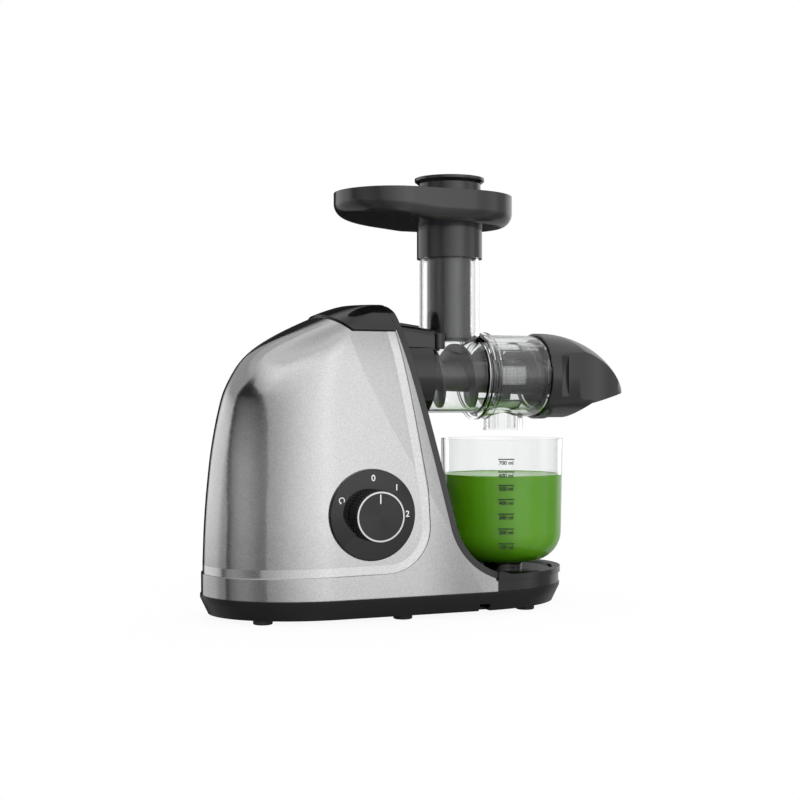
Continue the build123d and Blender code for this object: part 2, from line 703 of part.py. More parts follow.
case = case_prism(GEARBOX_WALL, GEARBOX_BACK, CASE_END)
case -= case_prism(0, GEARBOX_BACK + GEARBOX_WALL, CASE_END + 1)
case -= rod(PINION_SHAFT_RADIUS + 1, GEARBOX_BACK - 1, FAST_START, 0, MOTOR_Z)
case -= rod(PIN_RADIUS, GEARBOX_BACK - 1, FAST_START, 0, COUNTER_Z)
case -= rod(BUSH_RADIUS, GEARBOX_BACK - 1, FAST_START, 0, DRUM_Z)
cover = case_prism(GEARBOX_WALL, CASE_END, COVER_PLATE_FRONT)
cover -= rod(PIN_RADIUS, CASE_END - 1, NECK_BACK, 0, COUNTER_Z)
cover -= rod(BUSH_RADIUS, CASE_END - 1, NECK_BACK, 0, DRUM_Z)
pieces["gearbox_case"] = case
pieces["gearbox_cover"] = cover
pieces["counter_pin"] = rod(PIN_RADIUS, GEARBOX_BACK, COVER_PLATE_FRONT, 0, COUNTER_Z)
rear_bush_end = GEARBOX_BACK + GEARBOX_WALL + 1
front_bush_start = CASE_END - 2
shaft_bore = OUTPUT_SHAFT_RADIUS + FIT
pieces["output_bushes"] = Compound([
    pipe(BUSH_RADIUS, shaft_bore, GEARBOX_BACK, rear_bush_end, *drum_axis),
    pipe(BUSH_RADIUS, shaft_bore, front_bush_start, COVER_PLATE_FRONT + 2, *drum_axis),
])

# ---------------------------------------------------------------- output shaft
HEX_START = NECK_BACK - 1
HEX_END = 2.0
RETAINER = 2.0
hexagon = RegularPolygon(HEX_FLATS / 2, 6, major_radius=False)
output_shaft = rod(OUTPUT_SHAFT_RADIUS, GEARBOX_BACK, HEX_START, *drum_axis)
output_shaft += along_x(extrude(hexagon, HEX_END - HEX_START), HEX_START, *drum_axis)
output_shaft += pipe(
    OUTPUT_SHAFT_RADIUS + 2, OUTPUT_SHAFT_RADIUS - 1,
    rear_bush_end + BUSH_END_GAP, rear_bush_end + BUSH_END_GAP + RETAINER, *drum_axis,
)
output_shaft += pipe(
    OUTPUT_SHAFT_RADIUS + 2, OUTPUT_SHAFT_RADIUS - 1,
    SLOW_START + SLOW_FACE, front_bush_start - BUSH_END_GAP, *drum_axis,
)
pieces["output_shaft"] = output_shaft

# ---------------------------------------------------------------- motor
MOTOR_REAR = GEARBOX_BACK - MOTOR_LENGTH
CAN_WALL = 1.6
END_PLATE = 3.0
STATOR_RADIUS = MOTOR_RADIUS - CAN_WALL
STATOR_BORE = 20.0
STATOR_SLOTS = 6
ROTOR_GAP = 0.5
STACK_LENGTH = 40.0
BEARING_RADIUS = 9.0
BEARING_LENGTH = 6.0
FAN_RADIUS = 27.0
FAN_BLADES = 9
FAN_LENGTH = 8.0

motor_axis = (0, MOTOR_Z)
stack_start = (MOTOR_REAR + GEARBOX_BACK - STACK_LENGTH) / 2
stack_end = stack_start + STACK_LENGTH
can = rod(MOTOR_RADIUS, MOTOR_REAR, GEARBOX_BACK, *motor_axis)
can -= rod(STATOR_RADIUS, MOTOR_REAR + END_PLATE, GEARBOX_BACK - END_PLATE, *motor_axis)
can -= rod(BEARING_RADIUS, MOTOR_REAR - 1, GEARBOX_BACK + 1, *motor_axis)
motor_centre = Axis((0, 0, MOTOR_Z), (1, 0, 0))
can_slot = block(
    MOTOR_REAR - 1, MOTOR_REAR + END_PLATE + 1, -4, 4,
    MOTOR_Z + BEARING_RADIUS + 5, MOTOR_Z + STATOR_RADIUS - 5,
)
for index in range(STATOR_SLOTS):
    can -= can_slot.rotate(motor_centre, 360.0 * index / STATOR_SLOTS)
pieces["motor_can"] = can
stator = pipe(STATOR_RADIUS, STATOR_BORE, stack_start, stack_end, *motor_axis)
coils = []
for index in range(STATOR_SLOTS):
    slot = block(
        stack_start - 1, stack_end + 1, -5, 5,
        MOTOR_Z + STATOR_BORE + 2.5, MOTOR_Z + STATOR_RADIUS - 3,
    )
    turn = 360.0 * (index + 0.5) / STATOR_SLOTS
    stator -= slot.rotate(motor_centre, turn)
    winding = block(
        stack_start - 5, stack_end + 5, -4.6, 4.6,
        MOTOR_Z + STATOR_BORE + 2.9, MOTOR_Z + STATOR_RADIUS - 3,
    )
    coils.append(winding.rotate(motor_centre, turn))
pieces["stator_stack"] = stator
pieces["stator_windings"] = Compound(coils)
rear_bearing_end = MOTOR_REAR + BEARING_LENGTH
front_bearing_start = GEARBOX_BACK - BEARING_LENGTH
pieces["motor_bearings"] = Compound([
    pipe(BEARING_RADIUS, SHAFT_RADIUS + FIT, MOTOR_REAR, rear_bearing_end, *motor_axis),
    pipe(BEARING_RADIUS, SHAFT_RADIUS + FIT, front_bearing_start, GEARBOX_BACK, *motor_axis),
])
rotor_shaft = rod(SHAFT_RADIUS, MOTOR_REAR - FAN_LENGTH - 2, GEARBOX_BACK, *motor_axis)
rotor_shaft += rod(PINION_SHAFT_RADIUS, GEARBOX_BACK, FAST_START, *motor_axis)
rotor_shaft += Pos(FAST_START, 0, MOTOR_Z) * gear(MODULE_FAST, PINION_TEETH, FAST_FACE, 0)
rotor_shaft += pipe(
    SHAFT_RADIUS + 2, SHAFT_RADIUS - 1,
    rear_bearing_end + BUSH_END_GAP, stack_start, *motor_axis,
)
pieces["rotor_shaft"] = rotor_shaft
pieces["rotor_core"] = pipe(
    STATOR_BORE - ROTOR_GAP, SHAFT_RADIUS, stack_start, stack_end, *motor_axis
)
fan = pipe(7, SHAFT_RADIUS, MOTOR_REAR - FAN_LENGTH - 1, MOTOR_REAR - 1, *motor_axis)
fan += pipe(FAN_RADIUS, 6, MOTOR_REAR - 2.5, MOTOR_REAR - 1, *motor_axis)
blade = block(
    MOTOR_REAR - FAN_LENGTH - 1, MOTOR_REAR - 1, -0.8, 0.8,
    MOTOR_Z + 6, MOTOR_Z + FAN_RADIUS,
)
for index in range(FAN_BLADES):
    fan += blade.rotate(motor_centre, 360.0 * index / FAN_BLADES)
pieces["cooling_fan"] = fan
dampers = []
for x in CRADLE_PLACES:
    ring = pipe(
        MOTOR_RADIUS + DAMPER, MOTOR_RADIUS, x, x + CRADLE_THICKNESS, *motor_axis
    )
    dampers.append(ring & block(
        x, x + CRADLE_THICKNESS, -CRADLE_HALF_WIDTH, CRADLE_HALF_WIDTH,
        0, MOTOR_Z - MOTOR_RADIUS / 2,
    ))
pieces["motor_dampers"] = Compound(dampers)

# ---------------------------------------------------------------- drum
# One clear moulding: feed barrel, lock ring, juice chamber, nozzle and feed tube.
RING_START = 47.0
RING_FLANGE = 3.2            # each of the two flanges of the lock ring
RING_WAIST = 1.4             # how far the ring draws in between them
NOZZLE_RIBS = 18
NOZZLE_RIB = 1.0
NOZZLE_LIP = 2.0             # plain edge under the ribs
drum = rod(BARREL_RADIUS, BARREL_START, STRAINER_START, *drum_axis)
ring_end = RING_START + LOCK_RING_LENGTH
drum += rod(LOCK_RING_RADIUS, RING_START, ring_end, *drum_axis)
drum -= pipe(
    LOCK_RING_RADIUS + 1, LOCK_RING_RADIUS - RING_WAIST,
    RING_START + RING_FLANGE, ring_end - RING_FLANGE, *drum_axis,
)
drum += rod(CHAMBER_RADIUS, CHAMBER_START, CHAMBER_END, *drum_axis)
drum += post(TUBE_RADIUS, TUBE_X, 0, DRUM_Z, TUBE_TOP)
drum += post(NOZZLE_RADIUS, NOZZLE_X, 0, NOZZLE_END, DRUM_Z)
nozzle_rib = block(
    NOZZLE_X + NOZZLE_RADIUS - 1, NOZZLE_X + NOZZLE_RADIUS + NOZZLE_RIB,
    -NOZZLE_RIB / 2, NOZZLE_RIB / 2,
    NOZZLE_END + NOZZLE_LIP, DRUM_Z - BARREL_RADIUS,
)
nozzle_axis = Axis((NOZZLE_X, 0, 0), (0, 0, 1))
for index in range(NOZZLE_RIBS):
    drum += nozzle_rib.rotate(nozzle_axis, 360.0 * index / NOZZLE_RIBS)
lug = block(
    LUG_START, LUG_START + LUG_LENGTH, -LUG_WIDTH / 2, LUG_WIDTH / 2,
    DRUM_Z + BARREL_BORE, DRUM_Z + NECK_RADIUS,
) & rod(BARREL_RADIUS + LUG_HEIGHT, LUG_START, LUG_START + LUG_LENGTH, *drum_axis)
for one_lug in around_drum(lug, LUG_COUNT, LUG_ANGLE):
    drum += one_lug
drum -= rod(BARREL_BORE, BARREL_START + CLEAR_WALL, STRAINER_START, *drum_axis)
drum -= rod(CHAMBER_BORE, STRAINER_START, CHAMBER_END + 1, *drum_axis)
drum -= rod(SEAL_RADIUS, BARREL_START - 1, 0, *drum_axis)
drum -= post(TUBE_RADIUS - CLEAR_WALL, TUBE_X, 0, DRUM_Z, TUBE_TOP + 1)
drum -= post(NOZZLE_RADIUS - CLEAR_WALL, NOZZLE_X, 0, NOZZLE_END - 1, DRUM_Z)
pieces["juicing_drum"] = drum
pieces["drum_seal"] = pipe(
    SEAL_RADIUS, AUGER_STUB_RADIUS + FIT,
    BARREL_START - 1, BARREL_START - 1 + CLEAR_WALL + 0.8, *drum_axis,
)

# ---------------------------------------------------------------- auger
AUGER_STUB_START = HEX_START + 1.5
FLIGHT_START = -17.0
FLIGHT_END = 99.0
FLIGHT_PARTS = 4             # lengths that one turn of the flight is joined from
core = Plane.XZ * make_face(Polyline(
    (AUGER_STUB_START, 0),
    (AUGER_STUB_START, AUGER_STUB_RADIUS),
    (AUGER_START, AUGER_STUB_RADIUS),
    (AUGER_START, BARREL_BORE - 1),
    (AUGER_START + 2.5, BARREL_BORE - 1),
    (AUGER_START + 4, AUGER_ROOT_RADIUS + 2),
    (AUGER_START + 12, AUGER_ROOT_RADIUS),
    (AUGER_END, AUGER_FRONT_RADIUS),
    (AUGER_TIP, AUGER_FRONT_RADIUS / 2),
    (AUGER_TIP, 0),
    close=True,
))
auger = Pos(0, 0, DRUM_Z) * revolve(core, Axis.X)
flight_rise = AUGER_PITCH / FLIGHT_PARTS
flight_helix = Helix(AUGER_PITCH, flight_rise, AUGER_RADIUS)
flight_depth = AUGER_RADIUS - AUGER_ROOT_RADIUS + 2
flight_section = Polygon(
    (0, -FLIGHT_EDGE / 2),
    (0, FLIGHT_EDGE / 2),
    (-flight_depth, FLIGHT_ROOT / 2),
    (-flight_depth, -FLIGHT_ROOT / 2),
    align=None,
)
flight_plane = Plane(
    origin=flight_helix @ 0, x_dir=(1, 0, 0), z_dir=flight_helix % 0
)
flight_part = sweep(flight_plane * flight_section, path=flight_helix, is_frenet=True)
part_count = round((FLIGHT_END - FLIGHT_START) / flight_rise)
auger += [
    along_x(
        Rot(0, 0, 360.0 * index / FLIGHT_PARTS) * flight_part,
        FLIGHT_START + index * flight_rise, *drum_axis,
    )
    for index in range(part_count)
]
socket = RegularPolygon(HEX_FLATS / 2 + HEX_GAP, 6, major_radius=False)
socket_length = HEX_END + 1 - AUGER_STUB_START
auger -= along_x(extrude(socket, socket_length + 1), AUGER_STUB_START - 1, *drum_axis)
pieces["auger"] = auger

# ---------------------------------------------------------------- strainer
FLANGE_LENGTH = 3.0
WINDOW_START = STRAINER_START + 10.0
strainer = pipe(
    STRAINER_OUTER, STRAINER_INNER, STRAINER_START, STRAINER_END, *drum_axis
)
strainer += pipe(
    CHAMBER_BORE - 0.1, STRAINER_INNER,
    STRAINER_END - FLANGE_LENGTH, STRAINER_END, *drum_axis,
)
strainer += pipe(
    CHAMBER_BORE - 0.1, STRAINER_INNER,
    STRAINER_START, STRAINER_START + FLANGE_LENGTH, *drum_axis,
)
window = block(
    WINDOW_START, WINDOW_START + WINDOW_LENGTH, -WINDOW_WIDTH / 2, WINDOW_WIDTH / 2,
    DRUM_Z + STRAINER_INNER - 4, DRUM_Z + STRAINER_OUTER + 1,
)
mesh_middle = (STRAINER_INNER + STRAINER_OUTER) / 2
mesh_ring = pipe(
    mesh_middle + MESH_THICKNESS / 2, mesh_middle - MESH_THICKNESS / 2,
    WINDOW_START, WINDOW_START + WINDOW_LENGTH, *drum_axis,
)
meshes = []
for opening in around_drum(window, WINDOW_COUNT, 30):
    strainer -= opening
    meshes.append(mesh_ring & opening)
pieces["strainer_frame"] = strainer
pieces["strainer_mesh"] = Compound(meshes)

# ---------------------------------------------------------------- nose
# The hood over the pulp outlet: a ring on the chamber that runs out into a beak.
BEAK_START = 118.0
BEAK_HALF_WIDTH = 34.2
BEAK_MIDDLE = (166.0, 25.5)
BEAK_TIP_HALF_WIDTH = 5.0
BROW_START = 114.0           # where the top of the hood starts to fall
BROW_RADIUS = 95.5
BROW_CROWN = 8.0             # the fullest point of the brow, past its middle
TIP_WALLS = 1.6              # walls of plastic in the closed tip
GROOVE_START = 119.0         # curved grip groove in the near side of the hood
GROOVE_END = 126.0
GROOVE_DEPTH = 3.0
GROOVE_RADIUS = 60.0
CHIN_STEP = 1.2              # the chin stands back under the hood
CHIN_EDGE = ((117.0, 177.0), (205.0, 189.5))
CHIN = ((153.0, 178.6), (135.0, DRUM_Z - NOSE_RADIUS))
OUTLET_START = 155.0
OUTLET_END = 190.0
RING_GAP = 0.3               # between hood and chamber


def hood(inset):
    """The hood drawn in by its wall."""
    top = DRUM_Z + NOSE_RADIUS - inset
    back_x = NOSE_START - 1
    tip = (NOSE_TIP - TIP_WALLS * inset, NOSE_TIP_Z)
    drop = BROW_RADIUS - inset
    sweep_middle_x = (BROW_START + tip[0]) / 2 + BROW_CROWN
    sweep_middle_z = top - drop + math.sqrt(drop**2 - (sweep_middle_x - BROW_START) ** 2)
    brow_face = make_face([
        Line((back_x, NOSE_TIP_Z), (back_x, top)),
        Line((back_x, top), (BROW_START, top)),
        ThreePointArc((BROW_START, top), (sweep_middle_x, sweep_middle_z), tip),
        Line(tip, (back_x, NOSE_TIP_Z)),
    ])
    crown_axis = Axis((0, 0, NOSE_TIP_Z), (1, 0, 0))
    crown = revolve(Plane.XZ * brow_face, crown_axis)
    side_view = Polygon(
        (back_x, top),
        (tip[0], top),
        tip,
        (CHIN[0][0], CHIN[0][1] + inset),
        (CHIN[1][0], CHIN[1][1] + inset),
        (back_x, CHIN[1][1] + inset),
        align=None,
    )
    half_width = BEAK_HALF_WIDTH - inset
    tip_half = BEAK_TIP_HALF_WIDTH - inset / 2
    tip_x = NOSE_TIP + 1
    near = ThreePointArc(
        (BEAK_START, -half_width), (BEAK_MIDDLE[0], inset - BEAK_MIDDLE[1]),
        (tip_x, -tip_half),
    )
    ring_half = NOSE_RADIUS + 1
    plan = make_face([
        Line((NOSE_START - 1, -ring_half), (BEAK_START - 1, -ring_half)),
        Line((BEAK_START - 1, -ring_half), (BEAK_START, -half_width)),
        near,
        Line((tip_x, -tip_half), (tip_x, tip_half)),
        mirror(near, Plane.XZ),
        Line((BEAK_START, half_width), (BEAK_START - 1, ring_half)),
        Line((BEAK_START - 1, ring_half), (NOSE_START - 1, ring_half)),
        Line((NOSE_START - 1, ring_half), (NOSE_START - 1, -ring_half)),
    ])
    body = rod(NOSE_RADIUS - inset, NOSE_START, NOSE_TIP + 1, *drum_axis)
    return body & crown & prism_y(side_view) & extrude(plan, HOUSING_TOP)


nose = hood(0)
groove_y = BEAK_HALF_WIDTH - GROOVE_DEPTH
for side in (-1, 1):
    nose -= rod(
        GROOVE_RADIUS, GROOVE_START, GROOVE_END, side * (groove_y + GROOVE_RADIUS), DRUM_Z
    )
below_hood = side_zone((*CHIN_EDGE, (CHIN_EDGE[1][0], 0), (CHIN_EDGE[0][0], 0)))
nose -= pipe(
    NOSE_RADIUS + 1, NOSE_RADIUS - CHIN_STEP, NOSE_START, NOSE_TIP, *drum_axis
) & below_hood
thick_end = GROOVE_END + NOSE_WALL
nose -= hood(NOSE_WALL + GROOVE_DEPTH) & block(
    CHAMBER_END + RING_GAP, thick_end + 1, -DEEP, DEEP, 0, HOUSING_TOP
)
nose -= hood(NOSE_WALL) & block(thick_end, NOSE_TIP, -DEEP, DEEP, 0, HOUSING_TOP)
nose -= rod(
    CHAMBER_RADIUS + RING_GAP, NOSE_START - 1, CHAMBER_END + RING_GAP, *drum_axis
)
nose -= rod(
    CHAMBER_BORE - 1, NOSE_START, CHAMBER_END + NOSE_WALL, *drum_axis
)
nose -= block(
    OUTLET_START, OUTLET_END, -BEAK_HALF_WIDTH / 3, BEAK_HALF_WIDTH / 3, 0, DRUM_Z
)
pieces["nose_cap"] = nose

# ---------------------------------------------------------------- tray
TRAY_BOTTOM_ROUND = 12.0
TRAY_BEND_X = -6.0           # the floor rises from here to the rear end
TRAY_RISE = 7.5
COLLAR_GAP = 0.3
COLLAR_PROUD = 0.6           # collar above the floor of the tray
COLLAR_TOP = TRAY_BOTTOM + TRAY_WALL + COLLAR_PROUD


def tray_shape(inset, bottom, top):
    outline = boat(
        TRAY_LEFT + inset,
        TRAY_HALF_WIDTH - inset,
        TRAY_RIGHT - inset,
        TRAY_RIGHT - TUBE_X - inset,
        TRAY_HALF_WIDTH - inset,
    )
    body = extrude(Pos(0, 0, bottom) * outline, top - bottom)
    body &= side_zone((
        (TRAY_LEFT, bottom + TRAY_RISE),
        (TRAY_BEND_X, bottom),
        (TRAY_RIGHT, bottom),
        (TRAY_RIGHT, top),
        (TRAY_LEFT, top),
    ))
    floor_edges = [
        edge for edge in body.edges()
        if edge.center().Z < bottom + TRAY_RISE + 1 and abs(edge.center().Y) > 1
        or edge.center().X > TUBE_X and edge.center().Z < bottom + 1
    ]
    return fillet(floor_edges, TRAY_BOTTOM_ROUND - inset)


tray = tray_shape(0, TRAY_BOTTOM, TRAY_RIM)
tray -= tray_shape(TRAY_WALL, TRAY_BOTTOM + TRAY_WALL, TRAY_RIM + 1)
tray += post(COLLAR_RADIUS, TUBE_X, 0, COLLAR_BOTTOM, COLLAR_TOP)
tray -= post(TUBE_RADIUS + COLLAR_GAP, TUBE_X, 0, 0, TUBE_TOP + COLLAR_GAP)
tray -= post(TUBE_RADIUS - CLEAR_WALL, TUBE_X, 0, 0, TRAY_RIM)
pieces["food_tray"] = tray

# ---------------------------------------------------------------- pusher
PUSHER_WALL = 2.4
PUSHER_ROUND = 3.0
FLANGE_EDGE = 2.5            # upright edge of the top flange
FLANGE_SLOPE = 2.5           # slope under it
HEAD_GAP = 0.3
head_bottom = COLLAR_TOP + HEAD_GAP
pusher_profile = Plane.XZ * make_face(Polyline(
    (0, PUSHER_BOTTOM),
    (PUSHER_RADIUS - PUSHER_ROUND, PUSHER_BOTTOM),
    (PUSHER_RADIUS, PUSHER_BOTTOM + PUSHER_ROUND),
    (PUSHER_RADIUS, head_bottom),
    (PUSHER_HEAD_RADIUS, head_bottom),
    (PUSHER_HEAD_RADIUS, PUSHER_TOP - FLANGE_EDGE - FLANGE_SLOPE),
    (PUSHER_FLANGE_RADIUS, PUSHER_TOP - FLANGE_EDGE),
    (PUSHER_FLANGE_RADIUS, PUSHER_TOP),
    (PUSHER_HEAD_RADIUS - PUSHER_WALL, PUSHER_TOP),
    (PUSHER_HEAD_RADIUS - PUSHER_WALL, head_bottom + PUSHER_WALL),
    (PUSHER_RADIUS - PUSHER_WALL, head_bottom + PUSHER_WALL),
    (PUSHER_RADIUS - PUSHER_WALL, PUSHER_BOTTOM + PUSHER_WALL),
    (0, PUSHER_BOTTOM + PUSHER_WALL),
    close=True,
))
pieces["pusher"] = Pos(TUBE_X, 0, 0) * revolve(pusher_profile, Axis.Z)

# ---------------------------------------------------------------- juice cup
CUP_FLOOR_RADIUS = CUP_RADIUS - CUP_DRAFT - CUP_CORNER


def cup_profile(inset, top):
    wall_foot = (CUP_RADIUS - CUP_DRAFT - inset, CUP_BOTTOM + CUP_CORNER)
    floor_edge = (CUP_FLOOR_RADIUS, CUP_BOTTOM + inset)
    corner = RadiusArc(floor_edge, wall_foot, -(CUP_CORNER - inset))
    return make_face([
        Line((0, CUP_BOTTOM + inset), floor_edge),
        corner,
        Line(wall_foot, (CUP_RADIUS - inset, top)),
        Line((CUP_RADIUS - inset, top), (0, top)),
        Line((0, top), (0, CUP_BOTTOM + inset)),
    ])


cup_wall = cup_profile(0, CUP_RIM) - cup_profile(CUP_WALL, CUP_RIM)
pieces["juice_cup"] = Pos(CUP_X, 0, 0) * revolve(Plane.XZ * cup_wall, Axis.Z)

# ---------------------------------------------------------------- knob and switch
KNOB_STEM = 3.0
STEM_GAP = 0.3
KNOB_RIBS = 48
KNOB_RIB = 0.5
RIB_END = 1.6                # plain edge at each end of the ribs
FACE_SUNK = 0.8
RING_WIDTH = 1.3
SWITCH_HALF = 13.0
SWITCH_DEPTH = 16.0
BEZEL_EDGE = 1.2
PLATE_THICKNESS = 0.6        # metal plate on the face of the knob
RING_PROUD = 0.3
STEM_COVER = 5.0             # knob left in front of the end of its shaft
SWITCH_BORE_DEPTH = 6.0
knob_place = (KNOB_X, KNOB_Z)
bezel = near_rod(BEZEL_RADIUS, BEZEL_BACK_Y, BEZEL_FACE_Y, *knob_place)
bezel = fillet(bezel.faces().sort_by(Axis.Y)[0].edges(), BEZEL_EDGE)
bezel -= near_rod(KNOB_STEM + STEM_GAP, 0, -2 * DEEP, *knob_place)
pieces["dial_bezel"] = bezel
knob = near_rod(KNOB_RADIUS - KNOB_RIB, KNOB_BACK_Y, KNOB_FACE_Y, *knob_place)
rib = block(
    KNOB_X - KNOB_RIB, KNOB_X + KNOB_RIB, KNOB_FACE_Y + RIB_END, KNOB_BACK_Y - RIB_END,
    KNOB_Z + KNOB_RADIUS - 2 * KNOB_RIB, KNOB_Z + KNOB_RADIUS,
)
knob_axis = Axis((KNOB_X, 0, KNOB_Z), (0, 1, 0))
for index in range(KNOB_RIBS):
    knob += rib.rotate(knob_axis, 360.0 * index / KNOB_RIBS)
recess_radius = KNOB_FACE_RADIUS + RING_WIDTH
recess_floor_y = KNOB_FACE_Y + FACE_SUNK + PLATE_THICKNESS
shaft_end_y = KNOB_FACE_Y + STEM_COVER
knob -= near_rod(recess_radius, recess_floor_y, KNOB_FACE_Y - 1, *knob_place)
knob -= near_rod(KNOB_STEM, 0, shaft_end_y, *knob_place)
pieces["knob_body"] = knob
pieces["knob_ring"] = near_rod(
    recess_radius, recess_floor_y, KNOB_FACE_Y - RING_PROUD, *knob_place
) - near_rod(KNOB_FACE_RADIUS, KNOB_BACK_Y, KNOB_FACE_Y - 1, *knob_place)
pieces["knob_face"] = near_rod(
    KNOB_FACE_RADIUS, recess_floor_y, KNOB_FACE_Y + FACE_SUNK, *knob_place
)
switch_bore_y = BEZEL_BACK_Y + SWITCH_BORE_DEPTH
pieces["switch_body"] = block(
    KNOB_X - SWITCH_HALF, KNOB_X + SWITCH_HALF,
    BEZEL_BACK_Y, BEZEL_BACK_Y + SWITCH_DEPTH,
    KNOB_Z - SWITCH_HALF, KNOB_Z + SWITCH_HALF,
) - near_rod(KNOB_STEM + STEM_GAP, switch_bore_y, BEZEL_BACK_Y - 1, *knob_place)
pieces["switch_shaft"] = near_rod(
    KNOB_STEM, switch_bore_y - STEM_GAP, shaft_end_y, *knob_place
)

# ---------------------------------------------------------------- electrics
# The board stands on posts of the base and carries the capacitor of the motor.
BOARD = (-62.0, -4.0, -32.0, 32.0)
BOARD_HEIGHT = 30.0
BOARD_THICKNESS = 1.6
BOARD_POST_RADIUS = 3.5
BOARD_POST_INSET = 5.0
CAPACITOR_RADIUS = 9.0
CAPACITOR_HEIGHT = 28.0
CAPACITOR_PLACE = (-46.0, 14.0)
GLAND_X = -92.0              # cord gland in the far side of the housing
GLAND_Z = 52.0
GLAND_RADIUS = 6.0
GLAND_FLANGE_RADIUS = 8.0
GLAND_FLANGE = 1.8
CORD_RADIUS = 3.6
SINK_START = -30.0           # heat sink: an upright plate with fins in front of it
SINK_PLATE = 4.0
SINK_LENGTH = 12.0
SINK_HALF_WIDTH = 24.0
SINK_HEIGHT = 20.0
SINK_FINS = 7
SINK_FIN = 2.0
TERMINALS = (-14.0, -7.0, -20.0, 12.0)
TERMINAL_HEIGHT = 10.0
board_top = BOARD_HEIGHT + BOARD_THICKNESS
board = block(*BOARD, BOARD_HEIGHT, board_top)
sink_top = board_top + SINK_HEIGHT
board += block(
    SINK_START, SINK_START + SINK_PLATE, -SINK_HALF_WIDTH, SINK_HALF_WIDTH,
    board_top, sink_top,
)
fin_pitch = (2 * SINK_HALF_WIDTH - SINK_FIN) / (SINK_FINS - 1)
for index in range(SINK_FINS):
    fin_y = index * fin_pitch - SINK_HALF_WIDTH
    board += block(
        SINK_START + SINK_PLATE, SINK_START + SINK_LENGTH, fin_y, fin_y + SINK_FIN,
        board_top, sink_top,
    )
board += block(*TERMINALS, board_top, board_top + TERMINAL_HEIGHT)
pieces["control_board"] = board
pieces["motor_capacitor"] = fillet(
    post(CAPACITOR_RADIUS, *CAPACITOR_PLACE, board_top, board_top + CAPACITOR_HEIGHT)
    .edges().sort_by(Axis.Z)[-1], 1.5,
)
for post_x in (BOARD[0] + BOARD_POST_INSET, BOARD[1] - BOARD_POST_INSET):
    for post_y in (BOARD[2] + BOARD_POST_INSET, BOARD[3] - BOARD_POST_INSET):
        base_pan += post(BOARD_POST_RADIUS, post_x, post_y, FOOT_HEIGHT, BOARD_HEIGHT)
pieces["base_pan"] = base_pan
# its flange clears the wall at the lowest point, where the housing is widest
gland_y = half_width_at(GLAND_Z - GLAND_FLANGE_RADIUS) + SEAM
gland = near_rod(GLAND_FLANGE_RADIUS, gland_y + GLAND_FLANGE, gland_y, GLAND_X, GLAND_Z)
gland += near_rod(GLAND_RADIUS, gland_y, gland_y - 2 * SHELL_WALL, GLAND_X, GLAND_Z)
gland += near_rod(
    GLAND_FLANGE_RADIUS, gland_y - SHELL_WALL - 1, gland_y - 2 * SHELL_WALL,
    GLAND_X, GLAND_Z,
)
gland -= near_rod(CORD_RADIUS, gland_y + DEEP, 0, GLAND_X, GLAND_Z)
pieces["cord_gland"] = gland
pieces["right_shell"] -= near_rod(
    GLAND_RADIUS + SEAM, gland_y + DEEP, 0, GLAND_X, GLAND_Z
)

# ---------------------------------------------------------------- row origin
# The row origin is the middle of the overall box on the table.
ROW_SHIFT = Pos(
    -(HOUSING_REAR - BASE_FLARE + NOSE_TIP) / 2,
    -(KNOB_FACE_Y - RING_PROUD + HOUSING_HALF_WIDTH + BASE_FLARE) / 2,
    0,
)
os.makedirs("parts", exist_ok=True)
for name, piece in pieces.items():
    placed = [ROW_SHIFT * solid for solid in piece.solids()]
    export_step(Compound(placed), f"parts/{name}.step")
    valid = all(solid.is_valid for solid in placed)
    print(name, len(placed), round(sum(solid.volume for solid in placed)), valid)
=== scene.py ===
import bmesh
import bpy
import json
import math
from mathutils import Matrix, Vector


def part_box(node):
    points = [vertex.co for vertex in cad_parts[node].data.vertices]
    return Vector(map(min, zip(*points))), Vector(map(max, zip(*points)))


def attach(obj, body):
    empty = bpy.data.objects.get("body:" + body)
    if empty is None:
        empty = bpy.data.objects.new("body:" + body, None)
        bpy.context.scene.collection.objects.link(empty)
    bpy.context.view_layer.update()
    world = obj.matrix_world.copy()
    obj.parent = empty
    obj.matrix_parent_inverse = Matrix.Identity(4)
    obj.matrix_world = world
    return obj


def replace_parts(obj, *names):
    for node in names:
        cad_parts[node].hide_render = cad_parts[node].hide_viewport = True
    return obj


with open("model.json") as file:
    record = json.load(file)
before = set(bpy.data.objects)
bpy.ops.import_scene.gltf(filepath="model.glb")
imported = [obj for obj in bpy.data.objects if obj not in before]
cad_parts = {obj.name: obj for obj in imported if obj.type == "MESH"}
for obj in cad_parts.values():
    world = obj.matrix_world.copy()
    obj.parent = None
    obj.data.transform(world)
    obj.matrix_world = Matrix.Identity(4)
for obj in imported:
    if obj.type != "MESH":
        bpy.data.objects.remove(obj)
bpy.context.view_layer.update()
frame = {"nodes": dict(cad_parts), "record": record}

# ------------------------------------------------------------------ base pan
# The dark satin pan under the machine is one moulding. The sides of the housing
# stand on its rim and screws from below hold them.


def surface_group(name, values):
    """A shader group with a Vector input, named values, and Mask and Height outputs."""
    group = bpy.data.node_groups.new(name, "ShaderNodeTree")
    sockets = group.interface
    sockets.new_socket("Vector", in_out="INPUT", socket_type="NodeSocketVector")
    for label, value in values.items():
        socket = sockets.new_socket(label, in_out="INPUT", socket_type="NodeSocketFloat")
        socket.default_value = value
    sockets.new_socket("Mask", in_out="OUTPUT", socket_type="NodeSocketFloat")
    sockets.new_socket("Height", in_out="OUTPUT", socket_type="NodeSocketFloat")
    start = group.nodes.new("NodeGroupInput")
    end = group.nodes.new("NodeGroupOutput")
    return group, start, end


def joined(tree, source, output, target, socket):
    tree.links.new(source.outputs[output], target.inputs[socket])


